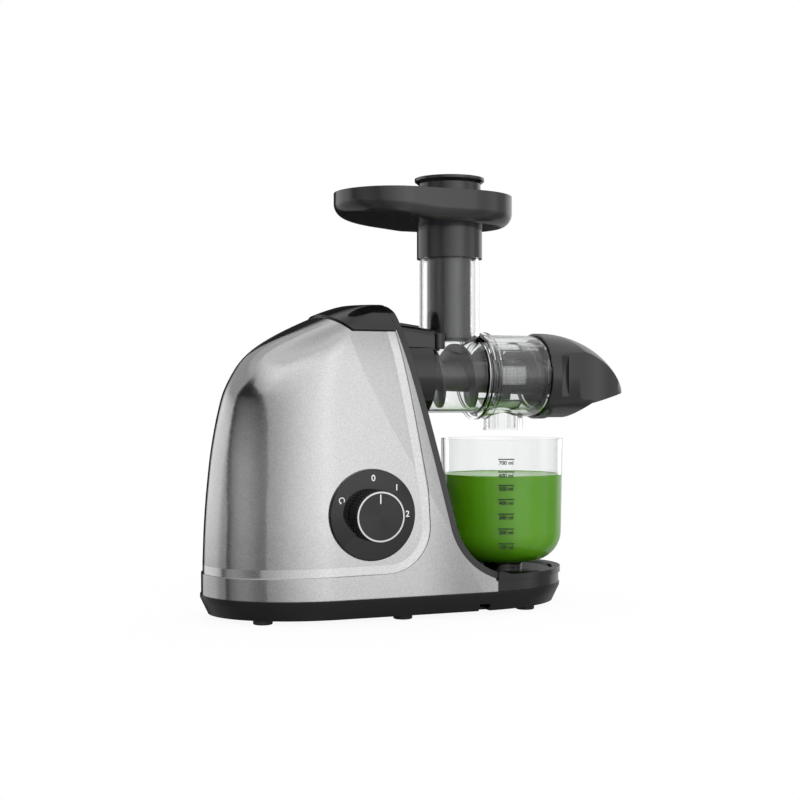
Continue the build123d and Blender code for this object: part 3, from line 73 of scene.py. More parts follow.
# Moulded plastic: broad faint clouds in the gloss and a fine grain in the skin.
moulded_skin, skin_in, skin_out = surface_group("moulded_skin", {"Cloud": 18.0, "Grain": 1400.0})
for label, output, detail in (("Cloud", "Mask", 4.0), ("Grain", "Height", 2.0)):
    noise = moulded_skin.nodes.new("ShaderNodeTexNoise")
    noise.inputs["Detail"].default_value = detail
    joined(moulded_skin, skin_in, "Vector", noise, "Vector")
    joined(moulded_skin, skin_in, label, noise, "Scale")
    joined(moulded_skin, noise, 0, skin_out, output)


def finished(name, group, values, colours, roughness, bump, fixed, edge=0.0):
    """A material from a group's mask and height; edge is the radius of its rounded edges."""
    material = bpy.data.materials.new(name)
    material.use_nodes = True
    tree = material.node_tree
    shader = tree.nodes["Principled BSDF"]
    place = tree.nodes.new("ShaderNodeTexCoord")
    surface = tree.nodes.new("ShaderNodeGroup")
    surface.node_tree = group
    for label, value in values.items():
        surface.inputs[label].default_value = value
    joined(tree, place, "Object", surface, "Vector")
    tint = tree.nodes.new("ShaderNodeMix")
    tint.data_type = "RGBA"
    tint.inputs[6].default_value = (*colours[0], 1)
    tint.inputs[7].default_value = (*colours[1], 1)
    joined(tree, surface, "Mask", tint, 0)
    joined(tree, tint, 2, shader, "Base Color")
    gloss = tree.nodes.new("ShaderNodeMapRange")
    gloss.inputs["To Min"].default_value = roughness[0]
    gloss.inputs["To Max"].default_value = roughness[1]
    joined(tree, surface, "Mask", gloss, "Value")
    joined(tree, gloss, 0, shader, "Roughness")
    relief = tree.nodes.new("ShaderNodeBump")
    relief.inputs["Strength"].default_value = bump[0]
    relief.inputs["Distance"].default_value = bump[1]
    joined(tree, surface, "Height", relief, "Height")
    joined(tree, relief, 0, shader, "Normal")
    if edge:
        rounding = tree.nodes.new("ShaderNodeBevel")
        rounding.inputs["Radius"].default_value = edge
        joined(tree, rounding, 0, relief, "Normal")
    for label, value in fixed.items():
        shader.inputs[label].default_value = value
    return material


body_of = {
    node: body for body, nodes in frame["record"]["behaviour"]["bodies"].items() for node in nodes
}


def coated(node, material):
    """Gives a solid of the frame its finish."""
    solid = frame["nodes"][node]
    for slot in solid.material_slots:
        slot.link = "OBJECT"
        slot.material = material


def placed(name, mesh, material, body):
    """A new piece with the given finish that rides on a body."""
    mesh.materials.clear()
    mesh.materials.append(material)
    piece = bpy.data.objects.new(name, mesh)
    bpy.context.scene.collection.objects.link(piece)
    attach(piece, body)
    return piece


def smooth_mesh(node, angle):
    """A solid's mesh with its corners merged, smooth up to the angle in degrees."""
    mesh = frame["nodes"][node].data.copy()
    for layer in ("custom_normal", "sharp_edge", "sharp_face"):
        if layer in mesh.attributes:
            mesh.attributes.remove(mesh.attributes[layer])
    work = bmesh.new()
    work.from_mesh(mesh)
    bmesh.ops.remove_doubles(work, verts=work.verts, dist=2e-6)
    work.to_mesh(mesh)
    work.free()
    mesh.shade_smooth()
    mesh.set_sharp_from_angle(angle=math.radians(angle))
    return mesh


def refined(node, material, angle=32.0):
    """A smooth copy that stands for a solid of the frame."""
    mesh = smooth_mesh(node, angle)
    piece = placed(node + "_surface", mesh, material, body_of[node])
    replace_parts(piece, node)
    return piece


satin_black = finished(
    "satin_black", moulded_skin, {"Cloud": 25.0, "Grain": 1600.0},
    ((0.008, 0.008, 0.0084), (0.013, 0.013, 0.0134)), (0.26, 0.36), (0.10, 0.0001),
    {"IOR": 1.35}, edge=0.0006,
)
refined("base_pan", satin_black)

# ------------------------------------------------------------------ feet and screws
# Six soft rubber feet are pushed into the pan, and six pan head screws sit in
# counterbores beside them.
foot_rubber = finished(
    "foot_rubber", moulded_skin, {"Cloud": 60.0, "Grain": 2400.0},
    ((0.012, 0.012, 0.012), (0.022, 0.022, 0.022)), (0.6, 0.8), (0.25, 0.0002), {},
)
refined("rubber_feet", foot_rubber)

# Machined metal: fine lines across X with a slow drift of tone.
turned_steel, steel_in, steel_out = surface_group("turned_steel", {"Lines": 900.0, "Drift": 30.0})
stretch = turned_steel.nodes.new("ShaderNodeVectorMath")
stretch.operation = "MULTIPLY"
stretch.inputs[1].default_value = (1.0, 0.04, 0.04)
joined(turned_steel, steel_in, "Vector", stretch, 0)
for label, output in (("Drift", "Mask"), ("Lines", "Height")):
    noise = turned_steel.nodes.new("ShaderNodeTexNoise")
    noise.inputs["Detail"].default_value = 3.0
    joined(turned_steel, stretch, 0, noise, "Vector")
    joined(turned_steel, steel_in, label, noise, "Scale")
    joined(turned_steel, noise, 0, steel_out, output)
bright_steel = finished(
    "bright_steel", turned_steel, {},
    ((0.50, 0.50, 0.51), (0.66, 0.66, 0.67)), (0.22, 0.34), (0.12, 0.0001), {"Metallic": 1.0},
)
coated("base_screws", bright_steel)

# ------------------------------------------------------------------ motor
# A steel can holds the laminated stator with six copper windings, and the rotor
# turns in two bearings with a fan behind. Rubber strips bed it in its cradles.
for node in ("motor_can", "rotor_shaft", "motor_bearings", "counter_pin"):
    coated(node, bright_steel)
lamination = finished(
    "lamination", turned_steel, {"Lines": 2200.0, "Drift": 60.0},
    ((0.22, 0.22, 0.23), (0.34, 0.34, 0.35)), (0.35, 0.5), (0.4, 0.0002), {"Metallic": 1.0},
)
for node in ("stator_stack", "rotor_core"):
    coated(node, lamination)
copper_wire = finished(
    "copper_wire", turned_steel, {"Lines": 1500.0, "Drift": 80.0},
    ((0.55, 0.22, 0.10), (0.72, 0.34, 0.17)), (0.28, 0.42), (0.5, 0.0003), {"Metallic": 1.0},
)
coated("stator_windings", copper_wire)
coated("cooling_fan", satin_black)
coated("motor_dampers", foot_rubber)

# ------------------------------------------------------------------ gears
# Two moulded wheels and two steel pinions step the motor down. They run in a
# closed plastic case on bronze bushes.
gear_plastic = finished(
    "gear_plastic", moulded_skin, {"Cloud": 45.0, "Grain": 1200.0},
    ((0.62, 0.60, 0.52), (0.70, 0.68, 0.60)), (0.32, 0.45), (0.08, 0.0001), {},
)
for node in ("counter_wheel", "output_wheel"):
    coated(node, gear_plastic)
for node in ("counter_pinion", "output_shaft"):
    coated(node, bright_steel)
bush_bronze = finished(
    "bush_bronze", turned_steel, {"Lines": 800.0, "Drift": 40.0},
    ((0.45, 0.28, 0.12), (0.58, 0.38, 0.18)), (0.3, 0.45), (0.1, 0.0001), {"Metallic": 1.0},
)
coated("output_bushes", bush_bronze)
for node in ("gearbox_case", "gearbox_cover"):
    coated(node, satin_black)

# ------------------------------------------------------------------ electrics
# A circuit board on posts of the pan feeds the motor. A rotary switch sits behind
# the dial, and a rubber gland lets the cord in at the back.
board_green = finished(
    "board_green", moulded_skin, {"Cloud": 90.0, "Grain": 900.0},
    ((0.02, 0.10, 0.05), (0.04, 0.17, 0.08)), (0.3, 0.5), (0.1, 0.0002), {},
)
coated("control_board", board_green)
for node in ("motor_capacitor", "switch_body"):
    coated(node, satin_black)
coated("switch_shaft", bright_steel)
refined("cord_gland", foot_rubber)

# ------------------------------------------------------------------ side shells
# The two sides are plastic mouldings in silver metallic paint: a fine fleck under
# a clear lacquer. A shallow step runs round the sunk panel.
metal_fleck, fleck_in, fleck_out = surface_group("metal_fleck", {"Fleck": 1700.0, "Cloud": 9.0})
cells = metal_fleck.nodes.new("ShaderNodeTexVoronoi")
joined(metal_fleck, fleck_in, "Vector", cells, "Vector")
joined(metal_fleck, fleck_in, "Fleck", cells, "Scale")
tone = metal_fleck.nodes.new("ShaderNodeSeparateColor")
joined(metal_fleck, cells, "Color", tone, 0)
cloud = metal_fleck.nodes.new("ShaderNodeTexNoise")
joined(metal_fleck, fleck_in, "Vector", cloud, "Vector")
joined(metal_fleck, fleck_in, "Cloud", cloud, "Scale")
share = metal_fleck.nodes.new("ShaderNodeMix")
share.inputs[0].default_value = 0.3
joined(metal_fleck, tone, 0, share, 2)
joined(metal_fleck, cloud, 0, share, 3)
joined(metal_fleck, share, 0, fleck_out, "Mask")
joined(metal_fleck, tone, 1, fleck_out, "Height")
silver_paint = finished(
    "silver_paint", metal_fleck, {},
    ((0.52, 0.52, 0.52), (0.69, 0.69, 0.69)), (0.08, 0.12), (0.08, 0.0001), {"Metallic": 1.0},
)


def computed(tree, operation, first, second=None, clamp=False):
    """The output of a Math node; each value is a number or an output socket."""
    node = tree.nodes.new("ShaderNodeMath")
    node.operation = operation
    node.use_clamp = clamp
    for index, value in enumerate((first, second)):
        if isinstance(value, (int, float)):
            node.inputs[index].default_value = value
        elif value is not None:
            tree.links.new(value, node.inputs[index])
    return node.outputs[0]


# The relief of the sides: the sunk panel has a wide bevel inside its edge. The surface
# turns down a little in front of a crease, and more past the panel's front edge. Places
# are (X, Z) in the side view.
panel_relief, relief_in, relief_out = surface_group(
    "panel_relief", {"Bevel": 0.0072, "Depth": 0.0011, "Fall": 0.04, "Front Turn": 1.6}
)
panel_ledge = ((-0.2575, 0.0370), (-0.0224, 0.0400))
panel_edge = ((-0.0224, 0.0400), (-0.0254, 0.1100), (-0.0434, 0.2170), (-0.0614, 0.3300))
panel_round = 0.038
# the front turn starts this far inside the panel's edge
front_turn_start = 0.010
crease = ((-0.0929, 0.2490), (-0.0739, 0.1900), (-0.0560, 0.1590), (-0.0391, 0.1250))


def beside(line):
    """How far a point lies to the left of each run of a line, the least of them."""
    least = None
    for start, end in zip(line, line[1:]):
        length = math.dist(start, end)
        across = ((start[1] - end[1]) / length, 0, (end[0] - start[0]) / length)
        spot = panel_relief.nodes.new("ShaderNodeVectorMath")
        spot.operation = "DOT_PRODUCT"
        spot.inputs[1].default_value = across
        joined(panel_relief, relief_in, "Vector", spot, 0)
        offset = across[0] * start[0] + across[2] * start[1]
        gap = computed(panel_relief, "SUBTRACT", spot.outputs["Value"], offset)
        least = gap if least is None else computed(panel_relief, "MINIMUM", least, gap)
    return least


legs = []
for line in (panel_edge, panel_ledge):
    leg = computed(panel_relief, "SUBTRACT", panel_round, beside(line))
    leg = computed(panel_relief, "MAXIMUM", leg, 0.0)
    legs.append(computed(panel_relief, "MULTIPLY", leg, leg))
to_corner = computed(panel_relief, "SQRT", computed(panel_relief, "ADD", *legs))
from_edge = computed(panel_relief, "SUBTRACT", panel_round, to_corner)
bevel_share = computed(
    panel_relief, "DIVIDE", from_edge, relief_in.outputs["Bevel"], clamp=True
)
bevel = computed(panel_relief, "MULTIPLY", bevel_share, relief_in.outputs["Depth"])
in_front = computed(panel_relief, "MAXIMUM", beside(crease), 0.0)
fall = computed(panel_relief, "MULTIPLY", in_front, relief_in.outputs["Fall"])
outside = computed(panel_relief, "SUBTRACT", front_turn_start, beside(panel_edge))
outside = computed(panel_relief, "MAXIMUM", outside, 0.0)
outside = computed(panel_relief, "MULTIPLY", outside, outside)
front_fall = computed(panel_relief, "MULTIPLY", outside, relief_in.outputs["Front Turn"])
relief_height = computed(
    panel_relief, "ADD", bevel, computed(panel_relief, "ADD", fall, front_fall)
)
panel_relief.links.new(
    computed(panel_relief, "MULTIPLY", relief_height, -1.0), relief_out.inputs["Height"]
)

silver_tree = silver_paint.node_tree
panel_place = silver_tree.nodes.new("ShaderNodeTexCoord")
panel_form = silver_tree.nodes.new("ShaderNodeGroup")
panel_form.node_tree = panel_relief
joined(silver_tree, panel_place, "Object", panel_form, "Vector")
panel_bump = silver_tree.nodes.new("ShaderNodeBump")
panel_bump.inputs["Strength"].default_value = 1.0
panel_bump.inputs["Distance"].default_value = 1.0
joined(silver_tree, panel_form, "Height", panel_bump, "Height")
shell_edge = silver_tree.nodes.new("ShaderNodeBevel")
shell_edge.inputs["Radius"].default_value = 0.0009
joined(silver_tree, shell_edge, 0, panel_bump, "Normal")
joined(silver_tree, panel_bump, 0, silver_tree.nodes["Bump"], "Normal")

# The rear shoulders are fuller than in the plain solids. Each pair is a height and the
# share by which the rear end grows there.
shoulder_start = -0.101
shoulder = ((0.030, 0.0), (0.060, 0.0), (0.110, 0.016), (0.140, 0.045), (0.170, 0.084),
            (0.198, 0.124), (0.220, 0.116), (0.247, 0.0), (0.270, 0.0))


def fullness(height):
    """The growth at a height, smooth through the pairs."""
    for place in range(1, len(shoulder) - 2):
        low, high = shoulder[place], shoulder[place + 1]
        if low[0] <= height <= high[0]:
            span = high[0] - low[0]
            rise = [
                (shoulder[index + 1][1] - shoulder[index - 1][1])
                / (shoulder[index + 1][0] - shoulder[index - 1][0]) * span
                for index in (place, place + 1)
            ]
            part = (height - low[0]) / span
            return (
                low[1] * (2 * part**3 - 3 * part**2 + 1) + rise[0] * (part**3 - 2 * part**2 + part)
                + high[1] * (3 * part**2 - 2 * part**3) + rise[1] * (part**3 - part**2)
            )
    return 0.0


for node in ("left_shell", "right_shell"):
    shell = refined(node, silver_paint)
    for corner in shell.data.vertices:
        if corner.co.x < shoulder_start:
            corner.co.x += (corner.co.x - shoulder_start) * max(0.0, fullness(corner.co.z))

# ------------------------------------------------------------------ front cover
# The gloss black front runs from the handle down the slope and out into the cup
# platform, and carries the neck that takes the drum.
gloss_black = finished(
    "gloss_black", moulded_skin, {"Cloud": 20.0, "Grain": 900.0},
    ((0.004, 0.004, 0.0042), (0.006, 0.006, 0.0063)), (0.06, 0.10), (0.02, 0.0001),
    {"IOR": 1.68}, edge=0.0006,
)
refined("front_cover", gloss_black)

# ------------------------------------------------------------------ handle and button
# A gloss black cap closes the top of the shells as a handle. The release button
# stands in the lock block over a small coil spring.
refined("top_handle", gloss_black)
refined("release_button", gloss_black)
coated("button_spring", bright_steel)

# ------------------------------------------------------------------ dial
# The bezel is a gloss black disc let into the near side. Its numbers and the
# reversing arrow are printed in white.
bezel_gloss = finished(
    "bezel_gloss", moulded_skin, {"Cloud": 20.0, "Grain": 900.0},
    ((0.0010, 0.0010, 0.0011), (0.0020, 0.0020, 0.0021)), (0.04, 0.08), (0.01, 0.0001),
    {"IOR": 1.62}, edge=0.0008,
)
refined("dial_bezel", bezel_gloss)
bezel_low, bezel_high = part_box("dial_bezel")
dial_centre = (bezel_low + bezel_high) / 2
dial_face = bezel_low.y
dial_print = finished(
    "dial_print", moulded_skin, {"Cloud": 200.0, "Grain": 3000.0},
    ((0.84, 0.84, 0.84), (0.90, 0.90, 0.90)), (0.4, 0.5), (0.05, 0.0001), {},
)


def written(text, size, thickness, weight):
    """The mesh of a short text, centred, in the XY plane; weight fattens its strokes."""
    curve = bpy.data.curves.new("numeral", "FONT")
    curve.body = text
    curve.size = size
    curve.extrude = thickness / 2
    curve.offset = weight
    curve.align_x = "CENTER"
    curve.align_y = "CENTER"
    holder = bpy.data.objects.new("numeral", curve)
    bpy.context.scene.collection.objects.link(holder)
    shown = holder.evaluated_get(bpy.context.evaluated_depsgraph_get())
    mesh = bpy.data.meshes.new_from_object(shown)
    bpy.data.objects.remove(holder)
    return mesh


def joined_mesh(name, meshes):
    """One mesh made of several."""
    work = bmesh.new()
    for mesh in meshes:
        work.from_mesh(mesh)
    whole = bpy.data.meshes.new(name)
    work.to_mesh(whole)
    work.free()
    return whole


label_radius = 0.0300
numeral_size = 0.0072
stroke_weight = 0.00012
print_thickness = 0.00012
labels = []
for text, turn in (("0", 0.0), ("1", 43.0), ("2", 90.0)):
    numeral = written(text, numeral_size, print_thickness, stroke_weight)
    angle = math.radians(turn)
    numeral.transform(
        Matrix.Translation((
            dial_centre.x + label_radius * math.sin(angle),
            dial_face - print_thickness / 2,
            dial_centre.z + label_radius * math.cos(angle),
        ))
        @ Matrix.Rotation(math.radians(90), 4, "X")
    )
    labels.append(numeral)

# The arrow is most of a circle with a head.
arrow = bmesh.new()
arrow_radius = 0.0022
arrow_line = 0.0007
arrow_head_half = 0.0010
arrow_head_length = 0.0016
arrow_start = -40
arrow_sweep = 270
arrow_steps = 20
reversing_turn = math.radians(-65)
arrow_middle = (
    dial_centre.x + label_radius * math.sin(reversing_turn),
    dial_centre.z + label_radius * math.cos(reversing_turn),
)
rings = []
for step in range(arrow_steps + 1):
    angle = math.radians(arrow_start + arrow_sweep * step / arrow_steps)
    rings.append([
        arrow.verts.new((
            arrow_middle[0] + radius * math.cos(angle),
            dial_face - depth,
            arrow_middle[1] + radius * math.sin(angle),
        ))
        for radius, depth in (
            (arrow_radius - arrow_line / 2, 0), (arrow_radius + arrow_line / 2, 0),
            (arrow_radius + arrow_line / 2, print_thickness),
            (arrow_radius - arrow_line / 2, print_thickness),
        )
    ])
for first, second in zip(rings, rings[1:]):
    for corner in range(4):
        following = (corner + 1) % 4
        arrow.faces.new((first[corner], first[following], second[following], second[corner]))
arrow.faces.new(rings[0][::-1])
arrow.faces.new(rings[-1])
tip_angle = math.radians(arrow_start + arrow_sweep)
tip = Vector((math.cos(tip_angle), 0, math.sin(tip_angle)))
along = Vector((-math.sin(tip_angle), 0, math.cos(tip_angle)))
start = Vector((arrow_middle[0], dial_face, arrow_middle[1])) + tip * arrow_radius
points = (
    start - tip * arrow_head_half, start + tip * arrow_head_half,
    start + along * arrow_head_length,
)
flat = [arrow.verts.new(point) for point in points]
proud = [arrow.verts.new(point - Vector((0, print_thickness, 0))) for point in points]
arrow.faces.new(flat)
arrow.faces.new(proud[::-1])
for corner in range(3):
    following = (corner + 1) % 3
    arrow.faces.new((flat[corner], proud[corner], proud[following], flat[following]))
bmesh.ops.recalc_face_normals(arrow, faces=arrow.faces)
arrow_mesh = bpy.data.meshes.new("arrow")
arrow.to_mesh(arrow_mesh)
arrow.free()
labels.append(arrow_mesh)
placed("dial_numbers", joined_mesh("dial_numbers", labels), dial_print, "housing")

# ------------------------------------------------------------------ knob
# The knob is a ribbed black body with a bright ring round a dark metal plate that
# is turned in fine rings. A white line marks its pointer.
refined("knob_body", gloss_black)
chrome_ring = finished(
    "chrome_ring", moulded_skin, {"Cloud": 120.0, "Grain": 2000.0},
    ((0.75, 0.75, 0.76), (0.85, 0.85, 0.86)), (0.08, 0.16), (0.02, 0.0001), {"Metallic": 1.0},
)
refined("knob_ring", chrome_ring)
plate_low, plate_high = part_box("knob_face")
plate_centre = (plate_low + plate_high) / 2
turned_plate = bpy.data.node_groups.new("turned_plate", "ShaderNodeTree")
sockets = turned_plate.interface
sockets.new_socket("Vector", in_out="INPUT", socket_type="NodeSocketVector")
sockets.new_socket("Normal", in_out="INPUT", socket_type="NodeSocketVector")
for label, value in (("Rings", 9000.0), ("Tilt", 0.35)):
    socket = sockets.new_socket(label, in_out="INPUT", socket_type="NodeSocketFloat")
    socket.default_value = value
sockets.new_socket("Mask", in_out="OUTPUT", socket_type="NodeSocketFloat")
sockets.new_socket("Normal", in_out="OUTPUT", socket_type="NodeSocketVector")
plate_in = turned_plate.nodes.new("NodeGroupInput")
plate_out = turned_plate.nodes.new("NodeGroupOutput")


def vector_step(operation, first, second=None, value=None):
    """A Vector Math node of the turned plate, fed by one or two sockets."""
    node = turned_plate.nodes.new("ShaderNodeVectorMath")
    node.operation = operation
    turned_plate.links.new(first, node.inputs[0])
    if second is not None:
        turned_plate.links.new(second, node.inputs[1])
    if value is not None:
        node.inputs[1].default_value = value
    return node


from_centre = vector_step("SUBTRACT", plate_in.outputs["Vector"], value=plate_centre)
flat_place = vector_step("MULTIPLY", from_centre.outputs[0], value=(1, 0, 1))
outward = vector_step("NORMALIZE", flat_place.outputs[0])
distance = vector_step("LENGTH", flat_place.outputs[0])
ring_noise = turned_plate.nodes.new("ShaderNodeTexNoise")
ring_noise.noise_dimensions = "1D"
ring_noise.inputs["Detail"].default_value = 0.0
turned_plate.links.new(distance.outputs["Value"], ring_noise.inputs["W"])
joined(turned_plate, plate_in, "Rings", ring_noise, "Scale")
centred = computed(turned_plate, "SUBTRACT", ring_noise.outputs[0], 0.5)
lean = computed(turned_plate, "MULTIPLY", centred, plate_in.outputs["Tilt"])
push = turned_plate.nodes.new("ShaderNodeVectorMath")
push.operation = "SCALE"
turned_plate.links.new(outward.outputs[0], push.inputs[0])
turned_plate.links.new(lean, push.inputs["Scale"])
tilted = vector_step("ADD", plate_in.outputs["Normal"], push.outputs[0])
unit = vector_step("NORMALIZE", tilted.outputs[0])
turned_plate.links.new(unit.outputs[0], plate_out.inputs["Normal"])
joined(turned_plate, ring_noise, 0, plate_out, "Mask")

dark_plate = bpy.data.materials.new("dark_plate")
dark_plate.use_nodes = True
plate_tree = dark_plate.node_tree
plate_shader = plate_tree.nodes["Principled BSDF"]
plate_place = plate_tree.nodes.new("ShaderNodeTexCoord")
plate_normal = plate_tree.nodes.new("ShaderNodeNewGeometry")
plate_rings = plate_tree.nodes.new("ShaderNodeGroup")
plate_rings.node_tree = turned_plate
joined(plate_tree, plate_place, "Object", plate_rings, "Vector")
joined(plate_tree, plate_normal, "Normal", plate_rings, "Normal")
plate_tint = plate_tree.nodes.new("ShaderNodeMix")
plate_tint.data_type = "RGBA"
plate_tint.inputs[6].default_value = (0.030, 0.030, 0.031, 1)
plate_tint.inputs[7].default_value = (0.110, 0.110, 0.113, 1)
joined(plate_tree, plate_rings, "Mask", plate_tint, 0)
joined(plate_tree, plate_tint, 2, plate_shader, "Base Color")
joined(plate_tree, plate_rings, "Normal", plate_shader, "Normal")
plate_shader.inputs["Metallic"].default_value = 1.0
plate_shader.inputs["Roughness"].default_value = 0.30
plate_shader.inputs["Anisotropic"].default_value = 0.9
plate_tangent = plate_tree.nodes.new("ShaderNodeTangent")
plate_tangent.direction_type = "RADIAL"
plate_tangent.axis = "Y"
joined(plate_tree, plate_tangent, 0, plate_shader, "Tangent")
refined("knob_face", dark_plate)

# the pointer is a thin bar with its length towards the ring, printed at the plate's top
pointer_width = 0.0009
pointer_length = 0.0075
pointer_depth = 0.0002
pointer_edge = 0.00005
pointer_place = 0.0142
pointer = bmesh.new()
bmesh.ops.create_cube(pointer, size=1.0)
pointer_mesh = bpy.data.meshes.new("knob_pointer")
for corner in pointer.verts:
    corner.co = Vector((
        plate_centre.x + corner.co.x * pointer_width,
        plate_low.y - pointer_depth / 2 + corner.co.y * pointer_depth,
        plate_centre.z + pointer_place + corner.co.z * pointer_length,
    ))
bmesh.ops.bevel(pointer, geom=pointer.edges, offset=pointer_edge, segments=1, affect="EDGES")
pointer.to_mesh(pointer_mesh)
pointer.free()
placed("knob_pointer", pointer_mesh, dial_print, "knob")

# ------------------------------------------------------------------ drum
# The juicing drum is one clear moulding: feed tube, barrel, lock ring, chamber and
# nozzle. A soft seal closes its back round the auger.
clear_plastic = finished(
    "clear_plastic", moulded_skin, {"Cloud": 12.0, "Grain": 60.0},
    ((0.95, 0.96, 0.96), (0.98, 0.985, 0.985)), (0.0, 0.03), (0.02, 0.0002),
    {"Transmission Weight": 1.0, "IOR": 1.49},
)
refined("juicing_drum", clear_plastic)
coated("drum_seal", foot_rubber)

# ------------------------------------------------------------------ auger
# The auger is one moulding of dark tough plastic. A deep flight winds round its
# core, and the output shaft drives it from the back.
auger_plastic = finished(
    "auger_plastic", moulded_skin, {"Cloud": 22.0, "Grain": 1100.0},
    ((0.030, 0.030, 0.032), (0.045, 0.045, 0.047)), (0.26, 0.36), (0.06, 0.0001), {},
)
refined("auger", auger_plastic)

# ------------------------------------------------------------------ strainer
# A clear moulded frame round the auger carries six curved windows of woven steel
# screen, each made of bars along the drum and hoops across them.
refined("strainer_frame", clear_plastic)
screen_steel = finished(
    "screen_steel", turned_steel, {"Lines": 2500.0, "Drift": 90.0},
    ((0.80, 0.80, 0.81), (0.92, 0.92, 0.93)), (0.22, 0.34), (0.1, 0.0001), {"Metallic": 0.8},
)
screen_low, screen_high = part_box("strainer_mesh")
screen_centre = (screen_low + screen_high) / 2
half_sheet = 0.00025
screen_radius = (screen_high.z - screen_low.z) / 2 - half_sheet
screen_length = screen_high.x - screen_low.x
screen_count = 6
screen_turn = math.radians(30)
screen_width = 0.0149
screen = bpy.data.node_groups.new("woven_screen", "GeometryNodeTree")
for label, kind, value in (
    ("Radius", "NodeSocketFloat", screen_radius),
    ("Length", "NodeSocketFloat", screen_length),
    ("Sweep", "NodeSocketFloat", screen_width / screen_radius),
    ("Wire", "NodeSocketFloat", 0.00030),
    ("Hoops", "NodeSocketInt", 19),
    ("Bars", "NodeSocketInt", 13),
    ("Windows", "NodeSocketInt", screen_count),
    ("Material", "NodeSocketMaterial", screen_steel),
):
    socket = screen.interface.new_socket(label, in_out="INPUT", socket_type=kind)
    socket.default_value = value
screen.interface.new_socket("Geometry", in_out="OUTPUT", socket_type="NodeSocketGeometry")
screen_in = screen.nodes.new("NodeGroupInput")
screen_out = screen.nodes.new("NodeGroupOutput")


def screen_node(kind, **settings):
    node = screen.nodes.new(kind)
    for label, value in settings.items():
        setattr(node, label, value)
    return node


section = screen_node("GeometryNodeCurvePrimitiveCircle")
section.inputs["Resolution"].default_value = 5
joined(screen, screen_in, "Wire", section, "Radius")
# bars run along the drum, set out on an arc across the window
arc = screen_node("GeometryNodeCurveArc")
arc.inputs["Resolution"].default_value = 16
joined(screen, screen_in, "Radius", arc, "Radius")
joined(screen, screen_in, "Sweep", arc, "Sweep Angle")
half_sweep = computed(screen, "MULTIPLY", screen_in.outputs["Sweep"], -0.5)
screen.links.new(half_sweep, arc.inputs["Start Angle"])
bar_places = screen_node("GeometryNodeCurveToPoints")
joined(screen, arc, "Curve", bar_places, "Curve")
joined(screen, screen_in, "Bars", bar_places, "Count")
bar = screen_node("GeometryNodeCurvePrimitiveLine")
bar_end = screen_node("ShaderNodeCombineXYZ")
joined(screen, screen_in, "Length", bar_end, "Z")
joined(screen, bar_end, 0, bar, "End")
bars = screen_node("GeometryNodeInstanceOnPoints")
joined(screen, bar_places, "Points", bars, "Points")
joined(screen, bar, 0, bars, "Instance")
# hoops follow the arc, one behind the other
hoop_places = screen_node("GeometryNodeMeshLine", mode="END_POINTS")
joined(screen, screen_in, "Hoops", hoop_places, "Count")
joined(screen, bar_end, 0, hoop_places, "Offset")
hoops = screen_node("GeometryNodeInstanceOnPoints")
joined(screen, hoop_places, 0, hoops, "Points")
joined(screen, arc, "Curve", hoops, "Instance")
wires = screen_node("GeometryNodeJoinGeometry")
joined(screen, bars, 0, wires, 0)
joined(screen, hoops, 0, wires, 0)
real_wires = screen_node("GeometryNodeRealizeInstances")
joined(screen, wires, 0, real_wires, 0)
drawn_wires = screen_node("GeometryNodeCurveToMesh")
joined(screen, real_wires, 0, drawn_wires, "Curve")
joined(screen, section, 0, drawn_wires, "Profile Curve")
# the windows stand round the axis
stations = screen_node("GeometryNodeMeshLine", mode="OFFSET")
joined(screen, screen_in, "Windows", stations, "Count")
stations.inputs["Offset"].default_value = (0, 0, 0)
station = screen_node("GeometryNodeInputIndex")
station_turn = computed(screen, "MULTIPLY", station.outputs[0], 2 * math.pi / screen_count)
station_rotation = screen_node("ShaderNodeCombineXYZ")
screen.links.new(station_turn, station_rotation.inputs["Z"])
windows = screen_node("GeometryNodeInstanceOnPoints")
joined(screen, stations, 0, windows, "Points")
joined(screen, drawn_wires, 0, windows, "Instance")
joined(screen, station_rotation, 0, windows, "Rotation")
real_windows = screen_node("GeometryNodeRealizeInstances")
joined(screen, windows, 0, real_windows, 0)
screen_finish = screen_node("GeometryNodeSetMaterial")
joined(screen, real_windows, 0, screen_finish, "Geometry")
joined(screen, screen_in, "Material", screen_finish, "Material")
joined(screen, screen_finish, 0, screen_out, "Geometry")


def grown(name, tree):
    """The plain mesh that a geometry node tree makes with its own default values."""
    seed = bpy.data.meshes.new(name)
    holder = bpy.data.objects.new(name, seed)
    bpy.context.scene.collection.objects.link(holder)
    modifier = holder.modifiers.new("grow", "NODES")
    modifier.node_group = tree
    for item in tree.interface.items_tree:
        if item.in_out == "INPUT" and item.socket_type != "NodeSocketGeometry":
            modifier[item.identifier] = item.default_value
    shown = holder.evaluated_get(bpy.context.evaluated_depsgraph_get())
    mesh = bpy.data.meshes.new_from_object(shown)
    holder.modifiers.remove(modifier)
    bpy.data.objects.remove(holder)
    return mesh


woven = grown("strainer_screen", screen)
# the tree winds about Z from +X; the drum lies along X, with its first window turned
# from the top by screen_turn
woven.transform(
    Matrix.Translation((screen_low.x, screen_centre.y, screen_centre.z))
    @ Matrix.Rotation(screen_turn, 4, "X")
    @ Matrix(((0, 0, 1, 0), (0, 1, 0, 0), (1, 0, 0, 0), (0, 0, 0, 1)))
)
woven.flip_normals()
woven.shade_smooth()
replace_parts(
    placed("strainer_screen", woven, screen_steel, "drum"), "strainer_mesh"
)

